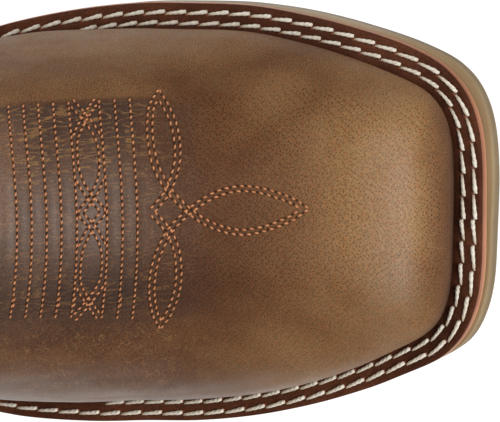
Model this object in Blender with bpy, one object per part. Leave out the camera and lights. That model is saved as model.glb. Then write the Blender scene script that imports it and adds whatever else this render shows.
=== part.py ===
"""Right roper boot: lasted upper, leg shaft, heel counter, pull straps, welt, insole, outsole and heel.

Frame: +X points to the toe, +Y to the inner side of the foot, +Z up. The origin is on the floor, under
the middle of the boot. Sizes below are millimetres; meshes are written in metres.
"""

import bmesh
import bpy
import numpy as np

MM = 0.001

# Driving sizes
LENGTH = 305.0
HEEL_LIFT = 26.0
TOE_SPRING = 14.0
OUTSOLE_THICK = 7.0
WELT_THICK = 4.0
UPPER_WALL = 2.2
SHAFT_WALL = 2.0
SHAFT_STEP = 0.8
GAP = 0.3
SEAM_GAP = 0.4
INSOLE_GAP = 0.5

# Ground line of the sole: flat tread under the ball, oblique toe spring, waist rising to the heel seat
TREAD_FRONT = 62.0
TREAD_BACK = 22.0
SEAT_FRONT = -86.0
SPRING_SKEW = 0.2

# Columns of the tables with a value for each side at stations along the foot
SIDE_COLUMNS = ("x", "inner", "outer")

# Welt outline in plan, half widths of the inner and outer side
OUTLINE = (
    (-112.0, 36.5, 37.5),
    (-85.0, 35.0, 37.5),
    (-55.0, 34.0, 38.8),
    (-25.0, 38.5, 44.5),
    (0.0, 46.0, 51.5),
    (20.0, 51.6, 55.9),
    (40.0, 55.5, 57.4),
    (56.0, 57.1, 57.4),
    (72.0, 57.5, 58.3),
    (88.0, 57.9, 58.5),
    (104.0, 57.2, 58.0),
    (120.0, 56.7, 57.3),
    (132.0, 57.1, 57.4),
    (142.0, 57.8, 59.8),
    (148.0, 57.6, 60.6),
    (151.2, 57.0, 60.0),
)

# Toe and heel ends of that outline: half width times (1 - t ** rise) ** (1 / square), t being 1 at the tip
END_COLUMNS = ("start", "tip", "rise", "square")
TOE_INNER = (53.0, 151.2, 2.0, 4.3)
TOE_OUTER = (45.0, 151.2, 1.85, 3.6)
HEEL_END = (-112.0, -LENGTH / 2, 2.2, 2.2)

# How far the outsole edge stands beyond the welt, on the inner and the outer side
SOLE_EDGE = (
    (0.0, -0.4, -0.4),
    (30.0, -0.75, -0.4),
    (45.0, -0.65, -0.3),
    (67.0, -0.1, -0.2),
    (83.0, 0.15, -0.2),
    (93.0, 0.45, -0.2),
    (100.0, 0.8, -0.2),
    (112.0, 1.0, -0.2),
    (130.0, 1.15, -0.2),
    (137.0, 1.5, -0.1),
    (141.0, 1.95, 0.15),
    (145.0, 2.2, 0.8),
    (149.0, 1.95, 0.9),
    (151.2, 1.6, 0.95),
)

# How far the upper's lower edge stands inside the welt edge, on the inner and the outer side
FEATHER = (
    (-120.0, 5.0, 5.0),
    (-60.0, 4.6, 6.5),
    (0.0, 4.0, 8.8),
    (27.0, 4.9, 9.9),
    (46.0, 7.0, 10.35),
    (62.0, 7.9, 10.5),
    (78.0, 7.9, 10.4),
    (95.0, 8.15, 9.9),
    (112.0, 8.65, 9.8),
    (129.0, 9.3, 10.2),
    (141.0, 9.15, 10.4),
    (150.0, 9.3, 9.6),
)

# Width of the blend from the inner to the outer side across the toe and heel tips
SIDE_BLEND = 24.0

# Rings of the last from the feather line to the collar, each through a front point and a back point.
# Their plan blends the sole's shape, scaled by girth, with a tube that has its own nose and heel.
LAST_COLUMNS = (
    "front_x", "front_z", "back_x", "back_z", "girth", "sole_share", "ridge_y",
    "nose_long", "nose_half", "heel_long", "heel_half", "power",
)
LAST = (
    (139.4, 22.0, -147.4, 37.6, 1.000, 1.00, 0.0, 95.0, 46.5, 44.0, 34.0, 3.0),
    (140.4, 28.0, -149.0, 45.0, 1.030, 1.00, 0.0, 95.0, 46.5, 44.0, 35.0, 3.0),
    (140.0, 33.0, -150.1, 53.0, 1.040, 0.98, 0.3, 95.0, 46.5, 44.0, 35.5, 2.9),
    (137.5, 37.6, -150.4, 60.0, 1.020, 0.90, 1.0, 95.0, 46.0, 44.0, 36.0, 2.7),
    (132.0, 41.4, -150.1, 65.5, 0.980, 0.78, 2.2, 95.0, 45.0, 44.0, 36.0, 2.5),
    (112.0, 48.6, -148.6, 75.0, 0.880, 0.45, 6.0, 96.0, 42.0, 45.0, 36.5, 2.25),
    (77.0, 62.0, -146.0, 88.0, 0.800, 0.10, 9.0, 94.0, 39.0, 47.0, 37.0, 2.1),
    (37.0, 83.6, -144.2, 104.0, 0.800, 0.00, 10.5, 86.0, 38.0, 50.0, 38.0, 2.05),
    (0.0, 112.0, -143.5, 122.0, 0.800, 0.00, 8.0, 71.0, 39.5, 55.0, 39.5, 2.05),
    (-20.0, 145.0, -144.6, 150.0, 0.800, 0.00, 3.5, 62.0, 43.5, 59.0, 43.5, 2.1),
    (-27.0, 197.0, -148.2, 198.0, 0.800, 0.00, 0.0, 61.0, 49.0, 60.0, 49.0, 2.1),
    (-23.0, 280.0, -151.0, 280.0, 0.800, 0.00, 0.0, 64.0, 53.0, 64.0, 53.0, 2.1),
)
COLLAR_DIP = 14.0
COLLAR_DIP_FROM = 0.8

# Heights of the seam between upper and shaft, and of the counter's top edge, from toe line to back line
SEAM_COLUMNS = ("round", "z")
SEAM = (
    (0.00, 150.0),
    (0.08, 141.0),
    (0.18, 117.0),
    (0.30, 99.0),
    (0.48, 90.0),
    (0.75, 92.0),
    (1.00, 98.0),
)
COUNTER_TOP = (
    (0.63, 38.0),
    (0.68, 50.0),
    (0.76, 70.0),
    (0.86, 87.0),
    (0.94, 94.5),
    (1.00, 97.0),
)
COUNTER_START = 0.63
COUNTER_FOOT = 2.2
COUNTER_THICK = 1.5
COUNTER_GAP = 0.5

# Heel block under the seat
BREAST_X = -78.0
BREAST_HOLLOW = 4.0
BREAST_FADE = 4
HEEL_TOP_INSET = 0.6
HEEL_FLOOR_INSET = 3.0

# Pull straps: width, thickness, height and swell of the loop over the collar, length sewn down on each side
STRAP_WIDE = 27.0
STRAP_THICK = 2.0
STRAP_LOOP = 16.0
STRAP_SWELL = 3.0
STRAP_DOWN = 42.0
STRAP_CLEAR = 0.4

# Fineness of the meshes
SIDE_POINTS = 42
UPPER_ROWS = 14
UPPER_CROWD = 1.6
SHAFT_ROWS = 8
COUNTER_ROWS = 8
SOLE_ACROSS = 6
INSOLE_ACROSS = 4
HEEL_ROWS = 15
STRAP_ACROSS = 5
STRAP_BEND_STEPS = 10
FINE = 400
LEVELS = 241
SLOPE_STEP = 0.01
TINY = 1e-6
SHARP_ANGLE = np.radians(40)

WELT_TOP = OUTSOLE_THICK + GAP + WELT_THICK
COUNT = 2 * SIDE_POINTS

# A quarter of an ellipse is about this many times its chord
QUARTER = 1.11

# Base colour (linear), roughness
MATERIALS = {
    "brown_leather": ((0.180, 0.088, 0.043), 0.50),
    "shaft_leather": ((0.165, 0.080, 0.040), 0.55),
    "welt_leather": ((0.070, 0.028, 0.018), 0.50),
    "khaki_rubber": ((0.340, 0.240, 0.145), 0.75),
    "insole_board": ((0.420, 0.300, 0.190), 0.85),
}


def columns(rows, names):
    """A table's columns by name, as arrays."""
    return dict(zip(names, np.array(rows, float).T))


def smooth(x, xs, ys):
    """A smooth curve through a table, level past both ends."""
    x = np.clip(np.asarray(x, float), xs[0], xs[-1])
    slope = np.gradient(ys, xs)
    i = np.clip(np.searchsorted(xs, x) - 1, 0, len(xs) - 2)
    step = xs[i + 1] - xs[i]
    t = (x - xs[i]) / step
    return (
        ys[i] * (1 + 2 * t) * (1 - t) ** 2
        + slope[i] * step * t * (1 - t) ** 2
        + ys[i + 1] * t * t * (3 - 2 * t)
        + slope[i + 1] * step * t * t * (t - 1)
    )


def ease(t):
    """0 to 1 with level ends."""
    t = np.clip(t, 0.0, 1.0)
    return t * t * (3 - 2 * t)


def tread(x, y):
    """Height of the outsole's underside above the floor."""
    forward = np.maximum(x - SPRING_SKEW * y - TREAD_FRONT, 0.0) / (LENGTH / 2 - TREAD_FRONT)
    return TOE_SPRING * forward**2 + HEEL_LIFT * ease((TREAD_BACK - x) / (TREAD_BACK - SEAT_FRONT))


def lift(x, y, height):
    """Points a given height above the underside, measured square to it."""
    slope_x = (tread(x + SLOPE_STEP, y) - tread(x - SLOPE_STEP, y)) / (2 * SLOPE_STEP)
    slope_y = (tread(x, y + SLOPE_STEP) - tread(x, y - SLOPE_STEP)) / (2 * SLOPE_STEP)
    share = height / np.sqrt(1 + slope_x**2 + slope_y**2)
    return np.stack([x - share * slope_x, y - share * slope_y, tread(x, y) + share], -1)


def fractions(points, at):
    """Points at fractions of a polyline's length."""
    steps = np.linalg.norm(np.diff(points, axis=0), axis=1)
    run = np.concatenate([[0.0], np.cumsum(steps)])
    return np.stack([np.interp(np.asarray(at) * run[-1], run, c) for c in points.T], -1)


def welt_side(inner):
    """Fine outline of one side of the welt, toe tip to heel tip."""
    table = columns(OUTLINE, SIDE_COLUMNS)
    toe = dict(zip(END_COLUMNS, TOE_INNER if inner else TOE_OUTER))
    heel = dict(zip(END_COLUMNS, HEEL_END))
    angle = np.linspace(np.pi / 2, 0, FINE)
    toe_x = toe["start"] + (toe["tip"] - toe["start"]) * np.sin(angle) ** (2 / toe["rise"])
    heel_x = heel["start"] + (heel["tip"] - heel["start"]) * np.sin(angle) ** (2 / heel["rise"])
    x = np.concatenate([toe_x, np.linspace(toe["start"], heel["start"], FINE)[1:-1], heel_x[::-1]])
    half = smooth(x, table["x"], table["inner" if inner else "outer"])
    for end in (toe, heel):
        t = np.clip((x - end["start"]) / (end["tip"] - end["start"]), 0, 1)
        half = half * (1 - t ** end["rise"]) ** (1 / end["square"])
    return fractions(np.stack([x, half if inner else -half], -1), np.linspace(0, 1, 3 * FINE))


def inset_side(inner, inset, at):
    """One side of the welt outline moved inward, at fractions of its length."""
    line = welt_side(inner)
    along = np.gradient(line, axis=0)
    along /= np.linalg.norm(along, axis=1)[:, None]
    inward = np.stack([-along[:, 1], along[:, 0]], -1) * (1 if inner else -1)
    amount = inset(line[:, 0], line[:, 1]) if callable(inset) else inset
    moved = line + inward * np.broadcast_to(amount, len(line))[:, None]
    moved[:, 1] = np.maximum(moved[:, 1], 0) if inner else np.minimum(moved[:, 1], 0)
    return fractions(moved, at)


def middles(count):
    """Fractions at the middles of equal steps, so that no point falls on the toe or heel tip."""
    return (np.arange(count) + 0.5) / count


def outline_loop(inset, count=SIDE_POINTS):
    """Closed outline: inner side toe to heel, then outer side heel to toe."""
    inner = inset_side(True, inset, middles(count))
    outer = inset_side(False, inset, middles(count))
    return np.vstack([inner, outer[::-1]])


def side_value(rows, x, y):
    """A table's value at x, blended from side to side across the toe and heel tips."""
    table = columns(rows, SIDE_COLUMNS)
    share = ease(y / SIDE_BLEND + 0.5)
    inner = smooth(x, table["x"], table["inner"])
    outer = smooth(x, table["x"], table["outer"])
    return inner * share + outer * (1 - share)


def sole_edge(x, y):
    """Inset of the outsole edge; negative where it stands beyond the welt."""
    return -side_value(SOLE_EDGE, x, y)


def feather_inset(x, y):
    """Inset of the upper's lower edge."""
    return side_value(FEATHER, x, y)


def front_run():
    """Length of the front line between the rows of the last's table."""
    table = columns(LAST, LAST_COLUMNS)
    return np.hypot(np.diff(table["front_x"]), np.diff(table["front_z"]))


def last_rows(v):
    """The last's table at a fraction v of the way up the front line."""
    table = columns(LAST, LAST_COLUMNS)
    run = np.concatenate([[0.0], np.cumsum(front_run())])
    return {name: smooth(v, run / run[-1], column) for name, column in table.items()}


def tube_side(row, t):
    """Plan of the tube: nose, straight side and heel, front to back at t from 0 to 1."""
    power = 2 / row["power"]
    straight = max(row["front_x"] - row["back_x"] - row["nose_long"] - row["heel_long"], 0.0)
    nose_run = np.hypot(row["nose_long"], row["nose_half"]) * QUARTER
    heel_run = np.hypot(row["heel_long"], row["heel_half"]) * QUARTER
    s = t * (nose_run + straight + heel_run)
    nose = np.clip(s / nose_run, 0, 1) * np.pi / 2
    side = np.clip((s - nose_run) / max(straight, TINY), 0, 1)
    heel = np.clip((s - nose_run - straight) / heel_run, 0, 1) * np.pi / 2
    x = row["front_x"] - row["nose_long"] * (1 - np.maximum(np.cos(nose), 0) ** power)
    x = x - straight * side - row["heel_long"] * np.sin(heel) ** power
    half = row["nose_half"] + (row["heel_half"] - row["nose_half"]) * ease(side)
    return x, half * np.sin(nose) ** power * np.maximum(np.cos(heel), 0) ** power


def ring(v, count=SIDE_POINTS):
    """One ring of the last, with its points spread evenly along each side."""
    row = last_rows(v)
    foot = last_rows(0.0)
    t = np.linspace(0, 1, FINE)
    sides = []
    for inner in (True, False):
        plan = inset_side(inner, feather_inset, t)
        edge = lift(plan[:, 0], plan[:, 1], WELT_TOP + GAP)
        length = row["front_x"] - row["back_x"]
        along = (edge[:, 0] - edge[-1, 0]) / (edge[0, 0] - edge[-1, 0])
        level = foot["back_z"] + (foot["front_z"] - foot["back_z"]) * along
        tube_x, tube_half = tube_side(row, t)
        share = row["sole_share"]
        x = share * (row["back_x"] + along * length) + (1 - share) * tube_x
        y = share * edge[:, 1] * row["girth"] + (1 - share) * tube_half * (1 if inner else -1)
        along_ring = (x - row["back_x"]) / length
        dip = COLLAR_DIP * ease((v - COLLAR_DIP_FROM) / (1 - COLLAR_DIP_FROM)) * (2 * along_ring - 1) ** 2
        z = row["back_z"] + (row["front_z"] - row["back_z"]) * along_ring + share * (edge[:, 2] - level) - dip
        points = np.stack([x, y + row["ridge_y"] * along_ring**2, z], -1)
        sides.append(fractions(points, middles(count)))
    return np.vstack([sides[0], sides[1][::-1]])


def skin_stack(count=SIDE_POINTS):
    """Rings of the last at many levels."""
    return np.array([ring(v, count) for v in np.linspace(0, 1, LEVELS)])


def round_fraction(count=SIDE_POINTS):
    """How far round from the toe line (0) to the back line (1) each point of a ring is."""
    return np.concatenate([middles(count), middles(count)[::-1]])


def levels_at(stack, heights):
    """Level v at which each column of the stack reaches its height."""
    v = np.linspace(0, 1, len(stack))
    climb = np.maximum.accumulate(stack[..., 2], axis=0)
    return np.array([np.interp(z, climb[:, k], v) for k, z in enumerate(heights)])


def skin(stack, v):
    """Points of the last's surface, one level per column in each row."""
    place = np.clip(v, 0, 1) * (len(stack) - 1)
    low = np.minimum(place.astype(int), len(stack) - 2)
    part = (place - low)[..., None]
    column = np.broadcast_to(np.arange(stack.shape[1]), v.shape)
    return stack[low, column] * (1 - part) + stack[low + 1, column] * part


def outward(grid, closed=True):
    """Unit normals of a grid of rows up and columns round."""
    if closed:
        around = np.roll(grid, -1, 1) - np.roll(grid, 1, 1)
    else:
        around = np.gradient(grid, axis=1)
    normal = np.cross(around, np.gradient(grid, axis=0))
    return normal / np.linalg.norm(normal, axis=-1, keepdims=True)


def add_solid(name, material, vertices, faces):
    """One named object with its material."""
    mesh = bpy.data.meshes.new(name)
    mesh.from_pydata([tuple(p * MM) for p in vertices], [], faces)
    work = bmesh.new()
    work.from_mesh(mesh)
    bmesh.ops.recalc_face_normals(work, faces=work.faces)
    work.to_mesh(mesh)
    work.free()
    mesh.shade_smooth()
    mesh.set_sharp_from_angle(angle=SHARP_ANGLE)
    mesh.materials.append(MATERIAL[material])
    piece = bpy.data.objects.new(name, mesh)
    piece.parent = BOOT
    bpy.context.scene.collection.objects.link(piece)
    return piece


def add_band(name, material, loops):
    """A closed band: loops go round the boot, and follow each other round the band's section."""
    loops = np.asarray(loops)
    rows, count = loops.shape[:2]
    faces = []
    for r in range(rows):
        for k in range(count):
            low, high = r * count, ((r + 1) % rows) * count
            after = (k + 1) % count
            faces.append((low + k, low + after, high + after, high + k))
    return add_solid(name, material, loops.reshape(-1, 3), faces)


def add_slab(name, material, front, back):
    """A slab between two grids of the same size."""
    rows, count = front.shape[:2]
    size = rows * count
    faces = []
    for r in range(rows - 1):
        for k in range(count - 1):
            a = r * count + k
            quad = (a, a + 1, a + count + 1, a + count)
            faces.append(quad)
            faces.append(tuple(size + i for i in reversed(quad)))
    rim = list(range(count))
    rim += [r * count + count - 1 for r in range(1, rows)]
    rim += [(rows - 1) * count + k for k in range(count - 2, -1, -1)]
    rim += [r * count for r in range(rows - 2, 0, -1)]
    for a, b in zip(rim, rim[1:] + rim[:1]):
        faces.append((b, a, size + a, size + b))
    return add_solid(name, material, np.vstack([front.reshape(-1, 3), back.reshape(-1, 3)]), faces)


def across(loop, height, steps=SOLE_ACROSS):
    """Grid over a closed outline at a height over the tread, rows running from inner to outer side."""
    half = len(loop) // 2
    inner, outer = loop[:half], loop[half:][::-1]
    t = np.linspace(0, 1, steps + 1)[None, :, None]
    plan = inner[:, None] * (1 - t) + outer[:, None] * t
    return lift(plan[..., 0], plan[..., 1], height)


def add_outsole():
    loop = outline_loop(sole_edge)
    return add_slab("outsole", "khaki_rubber", across(loop, OUTSOLE_THICK), across(loop, 0.0))


def add_welt():
    inner_edge = outline_loop(lambda x, y: feather_inset(x, y) + UPPER_WALL + GAP)
    edge = outline_loop(0.0)
    low, high = OUTSOLE_THICK + GAP, WELT_TOP
    corners = ((edge, low), (edge, high), (inner_edge, high), (inner_edge, low))
    return add_band("welt", "welt_leather", [lift(p[:, 0], p[:, 1], h) for p, h in corners])


def add_insole():
    loop = outline_loop(lambda x, y: feather_inset(x, y) + UPPER_WALL + GAP + INSOLE_GAP)
    top = across(loop, WELT_TOP, INSOLE_ACROSS)
    bottom = across(loop, OUTSOLE_THICK + GAP, INSOLE_ACROSS)
    return add_slab("insole", "insole_board", top, bottom)


def heel_rows(inset):
    """Plan grid of the heel block, breast to back, moved inward from the outsole edge."""
    reach = np.linspace(0, 1, 4 * FINE)
    sides = []
    for inner in (True, False):
        line = inset_side(inner, lambda x, y: sole_edge(x, y) + inset, reach)
        line = line[line[:, 0] < BREAST_X]
        sides.append(fractions(line, np.arange(HEEL_ROWS) / (HEEL_ROWS - 0.5)))
    t = np.linspace(0, 1, SOLE_ACROSS + 1)[None, :, None]
    plan = sides[0][:, None] * (1 - t) + sides[1][:, None] * t
    fade = (1 - np.arange(HEEL_ROWS) / HEEL_ROWS)[:, None] ** BREAST_FADE
    plan[..., 0] -= BREAST_HOLLOW * (1 - (2 * t[..., 0] - 1) ** 2) * fade
    return plan


def add_heel():
    top, floor = heel_rows(HEEL_TOP_INSET), heel_rows(HEEL_FLOOR_INSET)
    seat = tread(top[..., 0], top[..., 1]) - GAP
    upper_face = np.concatenate([top, seat[..., None]], -1)
    lower_face = np.concatenate([floor, np.zeros_like(seat)[..., None]], -1)
    return add_slab("heel", "khaki_rubber", upper_face, lower_face)


def seam_levels(stack):
    table = columns(SEAM, SEAM_COLUMNS)
    return levels_at(stack, smooth(round_fraction(), table["round"], table["z"]))


def add_upper(stack):
    """Lasted foot of the boot: a wall open below at the feather line and above at the seam."""
    rise = np.linspace(0, 1, UPPER_ROWS) ** UPPER_CROWD
    outer = skin(stack, rise[:, None] * seam_levels(stack)[None])
    inner = outer - outward(outer) * UPPER_WALL
    inner[0, :, 2] = outer[0, :, 2]
    return add_band("upper", "brown_leather", np.concatenate([outer, inner[::-1]]))


def add_shaft(stack):
    """Leg of the boot, set back a little from the upper's surface."""
    v_seam = seam_levels(stack)
    climb = np.linalg.norm(np.diff(stack, axis=0), axis=2) * (len(stack) - 1)
    local = climb[np.minimum((v_seam * (len(stack) - 1)).astype(int), len(climb) - 1), np.arange(COUNT)]
    start = v_seam + SEAM_GAP / local
    rise = np.linspace(0, 1, SHAFT_ROWS)[:, None]
    grid = skin(stack, start[None] * (1 - rise) + rise)
    normal = outward(grid)
    outer = grid - normal * SHAFT_STEP
    inner = outer - normal * SHAFT_WALL
    inner[-1, :, 2] = outer[-1, :, 2]
    return add_band("shaft", "shaft_leather", np.concatenate([outer, inner[::-1]]))


def add_counter(stack):
    """Heel counter, cut between two forms that stand off the upper's own surface."""
    table = columns(COUNTER_TOP, SEAM_COLUMNS)
    way = round_fraction()
    pick = np.nonzero(way >= COUNTER_START)[0]
    part = stack[:, pick]
    top = levels_at(part, smooth(way[pick], table["round"], table["z"]))
    foot = levels_at(part, part[0, :, 2] + COUNTER_FOOT)
    rise = np.linspace(0, 1, COUNTER_ROWS)[:, None] ** UPPER_CROWD
    grid = skin(part, foot[None] * (1 - rise) + top[None] * rise)
    normal = outward(grid, closed=False)
    near = grid + normal * COUNTER_GAP
    far = near + normal * COUNTER_THICK
    near[0, :, 2] = far[0, :, 2] = np.maximum(near[0, :, 2], far[0, :, 2])
    return add_slab("heel_counter", "brown_leather", far, near)


def strap_edge(v, inner):
    """Points across the width of a pull strap, on the ring at level v."""
    line = ring(v, FINE)
    line = line[:FINE] if inner else line[FINE:]
    reach = np.cumsum(np.linalg.norm(np.gradient(line, axis=0), axis=1))
    reach -= reach[np.argmax(np.abs(line[:, 1]))]
    wide = np.linspace(-STRAP_WIDE / 2, STRAP_WIDE / 2, STRAP_ACROSS)
    return np.stack([np.interp(wide, reach, c) for c in line.T], -1)


def strap_face(rim, foot, stand, side):
    """One face of a pull strap: up the outside, over the collar in a loop, and down the inside."""
    wall_middle = -(SHAFT_STEP + SHAFT_WALL / 2)
    rows = [foot + side * (wall_middle + stand)]
    for turn in np.linspace(0, np.pi, STRAP_BEND_STEPS + 1):
        out = stand * np.cos(turn) + STRAP_SWELL * np.sin(2 * turn)
        up = (STRAP_LOOP + stand) * np.sin(turn)
        rows.append(rim + side * (wall_middle + out) + np.array([0.0, 0.0, up]))
    rows.append(foot + side * (wall_middle - stand))
    return np.array(rows)


def add_strap(name, inner):
    rim = strap_edge(1.0, inner)
    foot = strap_edge(1.0 - STRAP_DOWN / front_run().sum(), inner)
    side = np.array([0.0, 1.0 if inner else -1.0, 0.0])
    near = SHAFT_WALL / 2 + STRAP_CLEAR
    far_face = strap_face(rim, foot, near + STRAP_THICK, side)
    return add_slab(name, "brown_leather", far_face, strap_face(rim, foot, near, side))


def make_materials():
    made = {}
    for name, (colour, roughness) in MATERIALS.items():
        material = bpy.data.materials.new(name)
        material.use_nodes = True
        shader = material.node_tree.nodes["Principled BSDF"]
        shader.inputs["Base Color"].default_value = (*colour, 1.0)
        shader.inputs["Roughness"].default_value = roughness
        shader.inputs["Metallic"].default_value = 0.0
        made[name] = material
    return made


for old in list(bpy.data.objects):
    bpy.data.objects.remove(old)
BOOT = bpy.data.objects.new("boot", None)
bpy.context.scene.collection.objects.link(BOOT)
MATERIAL = make_materials()
LAST_STACK = skin_stack()
add_outsole()
add_heel()
add_welt()
add_insole()
add_upper(LAST_STACK)
add_shaft(LAST_STACK)
add_counter(LAST_STACK)
add_strap("pull_strap_inner", True)
add_strap("pull_strap_outer", False)
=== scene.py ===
"""Looks of the right roper boot: fine leather skins, welt, sole, stitching, materials, light and camera.

Sizes are millimetres in the boot's own frame (+X toe, +Y inner side, +Z up); meshes are written in metres.
"""

import bmesh
import bpy
import numpy as np
from mathutils import Matrix, Vector
from mathutils.bvhtree import BVHTree
from mathutils.kdtree import KDTree


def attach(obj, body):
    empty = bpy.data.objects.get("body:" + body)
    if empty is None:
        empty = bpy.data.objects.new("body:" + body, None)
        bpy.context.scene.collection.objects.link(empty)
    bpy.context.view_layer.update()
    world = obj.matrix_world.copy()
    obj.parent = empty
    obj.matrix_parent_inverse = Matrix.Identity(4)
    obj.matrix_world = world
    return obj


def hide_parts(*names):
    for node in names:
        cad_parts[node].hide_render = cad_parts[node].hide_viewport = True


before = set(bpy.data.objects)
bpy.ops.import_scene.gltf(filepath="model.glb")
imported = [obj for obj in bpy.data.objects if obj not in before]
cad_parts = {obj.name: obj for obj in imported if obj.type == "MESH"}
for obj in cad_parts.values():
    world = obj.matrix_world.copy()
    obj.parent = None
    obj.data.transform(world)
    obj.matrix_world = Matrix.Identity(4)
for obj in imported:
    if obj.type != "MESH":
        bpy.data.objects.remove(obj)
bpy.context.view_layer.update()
MM = 0.001
BODY = "root"

# Sizes of the boot, as in the part's source
LENGTH = 305.0
HEEL_LIFT = 26.0
TOE_SPRING = 14.0
OUTSOLE_THICK = 7.0
WELT_THICK = 4.0
UPPER_WALL = 2.2
SHAFT_WALL = 2.0
SHAFT_STEP = 0.8
GAP = 0.3
WELT_LOW = OUTSOLE_THICK + GAP
WELT_TOP = WELT_LOW + WELT_THICK
TREAD_FRONT = 62.0
TREAD_BACK = 22.0
SEAT_FRONT = -86.0
SPRING_SKEW = 0.2

# Columns of the tables with a value for each side at stations along the foot, and their blend at the tips
SIDE_COLUMNS = ("x", "inner", "outer")
SIDE_BLEND = 24.0

# Half widths of the welt's outline in plan
OUTLINE = (
    (-112, 36.5, 37.5),
    (-85, 35, 37.5),
    (-55, 34, 38.8),
    (-25, 38.5, 44.5),
    (0, 46, 51.5),
    (20, 51.6, 55.9),
    (40, 55.5, 57.4),
    (56, 57.1, 57.4),
    (72, 57.5, 58.3),
    (88, 57.9, 58.5),
    (104, 57.2, 58),
    (120, 56.7, 57.3),
    (132, 57.1, 57.4),
    (142, 57.8, 59.8),
    (148, 57.6, 60.6),
    (151.2, 57, 60),
)

# Toe and heel ends of that outline
END_COLUMNS = ("start", "tip", "rise", "square")
TOE_INNER = (53.0, 151.2, 2.0, 4.3)
TOE_OUTER = (45.0, 151.2, 1.85, 3.6)
HEEL_END = (-112.0, -LENGTH / 2, 2.2, 2.2)

# How far the outsole edge stands beyond the welt, and the upper's lower edge inside it
SOLE_EDGE = (
    (0, -0.4, -0.4),
    (30, -0.75, -0.4),
    (45, -0.65, -0.3),
    (67, -0.1, -0.2),
    (83, 0.15, -0.2),
    (93, 0.45, -0.2),
    (100, 0.8, -0.2),
    (112, 1, -0.2),
    (130, 1.15, -0.2),
    (137, 1.5, -0.1),
    (141, 1.95, 0.15),
    (145, 2.2, 0.8),
    (149, 1.95, 0.9),
    (151.2, 1.6, 0.95),
)
FEATHER = (
    (-120, 5, 5),
    (-60, 4.6, 6.5),
    (0, 4, 8.8),
    (27, 4.9, 9.9),
    (46, 7, 10.35),
    (62, 7.9, 10.5),
    (78, 7.9, 10.4),
    (95, 8.15, 9.9),
    (112, 8.65, 9.8),
    (129, 9.3, 10.2),
    (141, 9.15, 10.4),
    (150, 9.3, 9.6),
)

# Rings of the last from the feather line to the collar
LAST_COLUMNS = (
    "front_x", "front_z", "back_x", "back_z", "girth", "sole_share", "ridge_y",
    "nose_long", "nose_half", "heel_long", "heel_half", "power",
)
LAST = (
    (139.4, 22, -147.4, 37.6, 1, 1, 0, 95, 46.5, 44, 34, 3),
    (140.4, 28, -149, 45, 1.030, 1, 0, 95, 46.5, 44, 35, 3),
    (140, 33, -150.1, 53, 1.040, 0.98, 0.3, 95, 46.5, 44, 35.5, 2.9),
    (137.5, 37.6, -150.4, 60, 1.020, 0.90, 1, 95, 46, 44, 36, 2.7),
    (132, 41.4, -150.1, 65.5, 0.980, 0.78, 2.2, 95, 45, 44, 36, 2.5),
    (112, 48.6, -148.6, 75, 0.880, 0.45, 6, 96, 42, 45, 36.5, 2.25),
    (77, 62, -146, 88, 0.800, 0.10, 9, 94, 39, 47, 37, 2.1),
    (37, 83.6, -144.2, 104, 0.800, 0, 10.5, 86, 38, 50, 38, 2.05),
    (0, 112, -143.5, 122, 0.800, 0, 8, 71, 39.5, 55, 39.5, 2.05),
    (-20, 145, -144.6, 150, 0.800, 0, 3.5, 62, 43.5, 59, 43.5, 2.1),
    (-27, 197, -148.2, 198, 0.800, 0, 0, 61, 49, 60, 49, 2.1),
    (-23, 280, -151, 280, 0.800, 0, 0, 64, 53, 64, 53, 2.1),
)
COLLAR_DIP = 14.0
COLLAR_DIP_FROM = 0.8

# Heights of the seam under the shaft and of the counter's top edge, from toe line to back line
ROUND_COLUMNS = ("round", "z")
SEAM = (
    (0, 150),
    (0.08, 141),
    (0.18, 117),
    (0.30, 99),
    (0.48, 90),
    (0.75, 92),
    (1, 98),
)
COUNTER_TOP = (
    (0.63, 38),
    (0.68, 50),
    (0.76, 70),
    (0.86, 87),
    (0.94, 94.5),
    (1, 97),
)

# Counter, heel and straps
COUNTER_START = 0.63
COUNTER_FOOT = 2.2
COUNTER_THICK = 1.5
COUNTER_GAP = 0.5
BREAST_X = -78.0
BREAST_HOLLOW = 4.0
BREAST_FADE = 4
HEEL_TOP_INSET = 0.6
HEEL_FLOOR_INSET = 3.0
STRAP_WIDE = 27.0
STRAP_THICK = 2.0
STRAP_LOOP = 16.0
STRAP_SWELL = 3.0
STRAP_DOWN = 42.0
STRAP_CLEAR = 0.4

# A quarter of an ellipse is about this many times its chord
QUARTER = 1.11

# Fineness of the lines and of the visual meshes
FINE = 400
OUTLINE_POINTS = 3 * FINE
HEEL_POINTS = 4 * FINE
SLOPE_STEP = 0.01
TINY = 1e-6
LEVELS = 481
UPPER_SIDE = 200
UPPER_CROWD = 0.52
UPPER_ROW_COLUMNS = ("rise", "rows")
UPPER_ROWS = (
    (0, 0),
    (0.17, 32),
    (0.62, 178),
    (0.985, 202),
    (1, 208),
)
EDGE_ROUND = 0.7
LINING_ROWS = 10
SHAFT_SIDE = 110
SHAFT_ROWS = 90
SHAFT_START = 0.0003
COUNTER_ROWS = 44
COUNTER_CROWD = 2.0
COUNTER_LIES = 0.1
SOLE_SIDE = 400
SOLE_ACROSS = 48
SHARP = np.radians(50)
UP_FROM = 0.55
UP_OVER = 0.2
FRONT_OVER = 0.2


# Shape of the last


def columns(rows, names):
    """A table's columns by name, as arrays."""
    return dict(zip(names, np.array(rows, float).T))


def smooth(x, xs, ys):
    """A smooth curve through a table, level past both ends."""
    x = np.clip(np.asarray(x, float), xs[0], xs[-1])
    slope = np.gradient(ys, xs)
    i = np.clip(np.searchsorted(xs, x) - 1, 0, len(xs) - 2)
    step = xs[i + 1] - xs[i]
    t = (x - xs[i]) / step
    return (
        ys[i] * (1 + 2 * t) * (1 - t) ** 2
        + slope[i] * step * t * (1 - t) ** 2
        + ys[i + 1] * t * t * (3 - 2 * t)
        + slope[i + 1] * step * t * t * (t - 1)
    )


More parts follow.
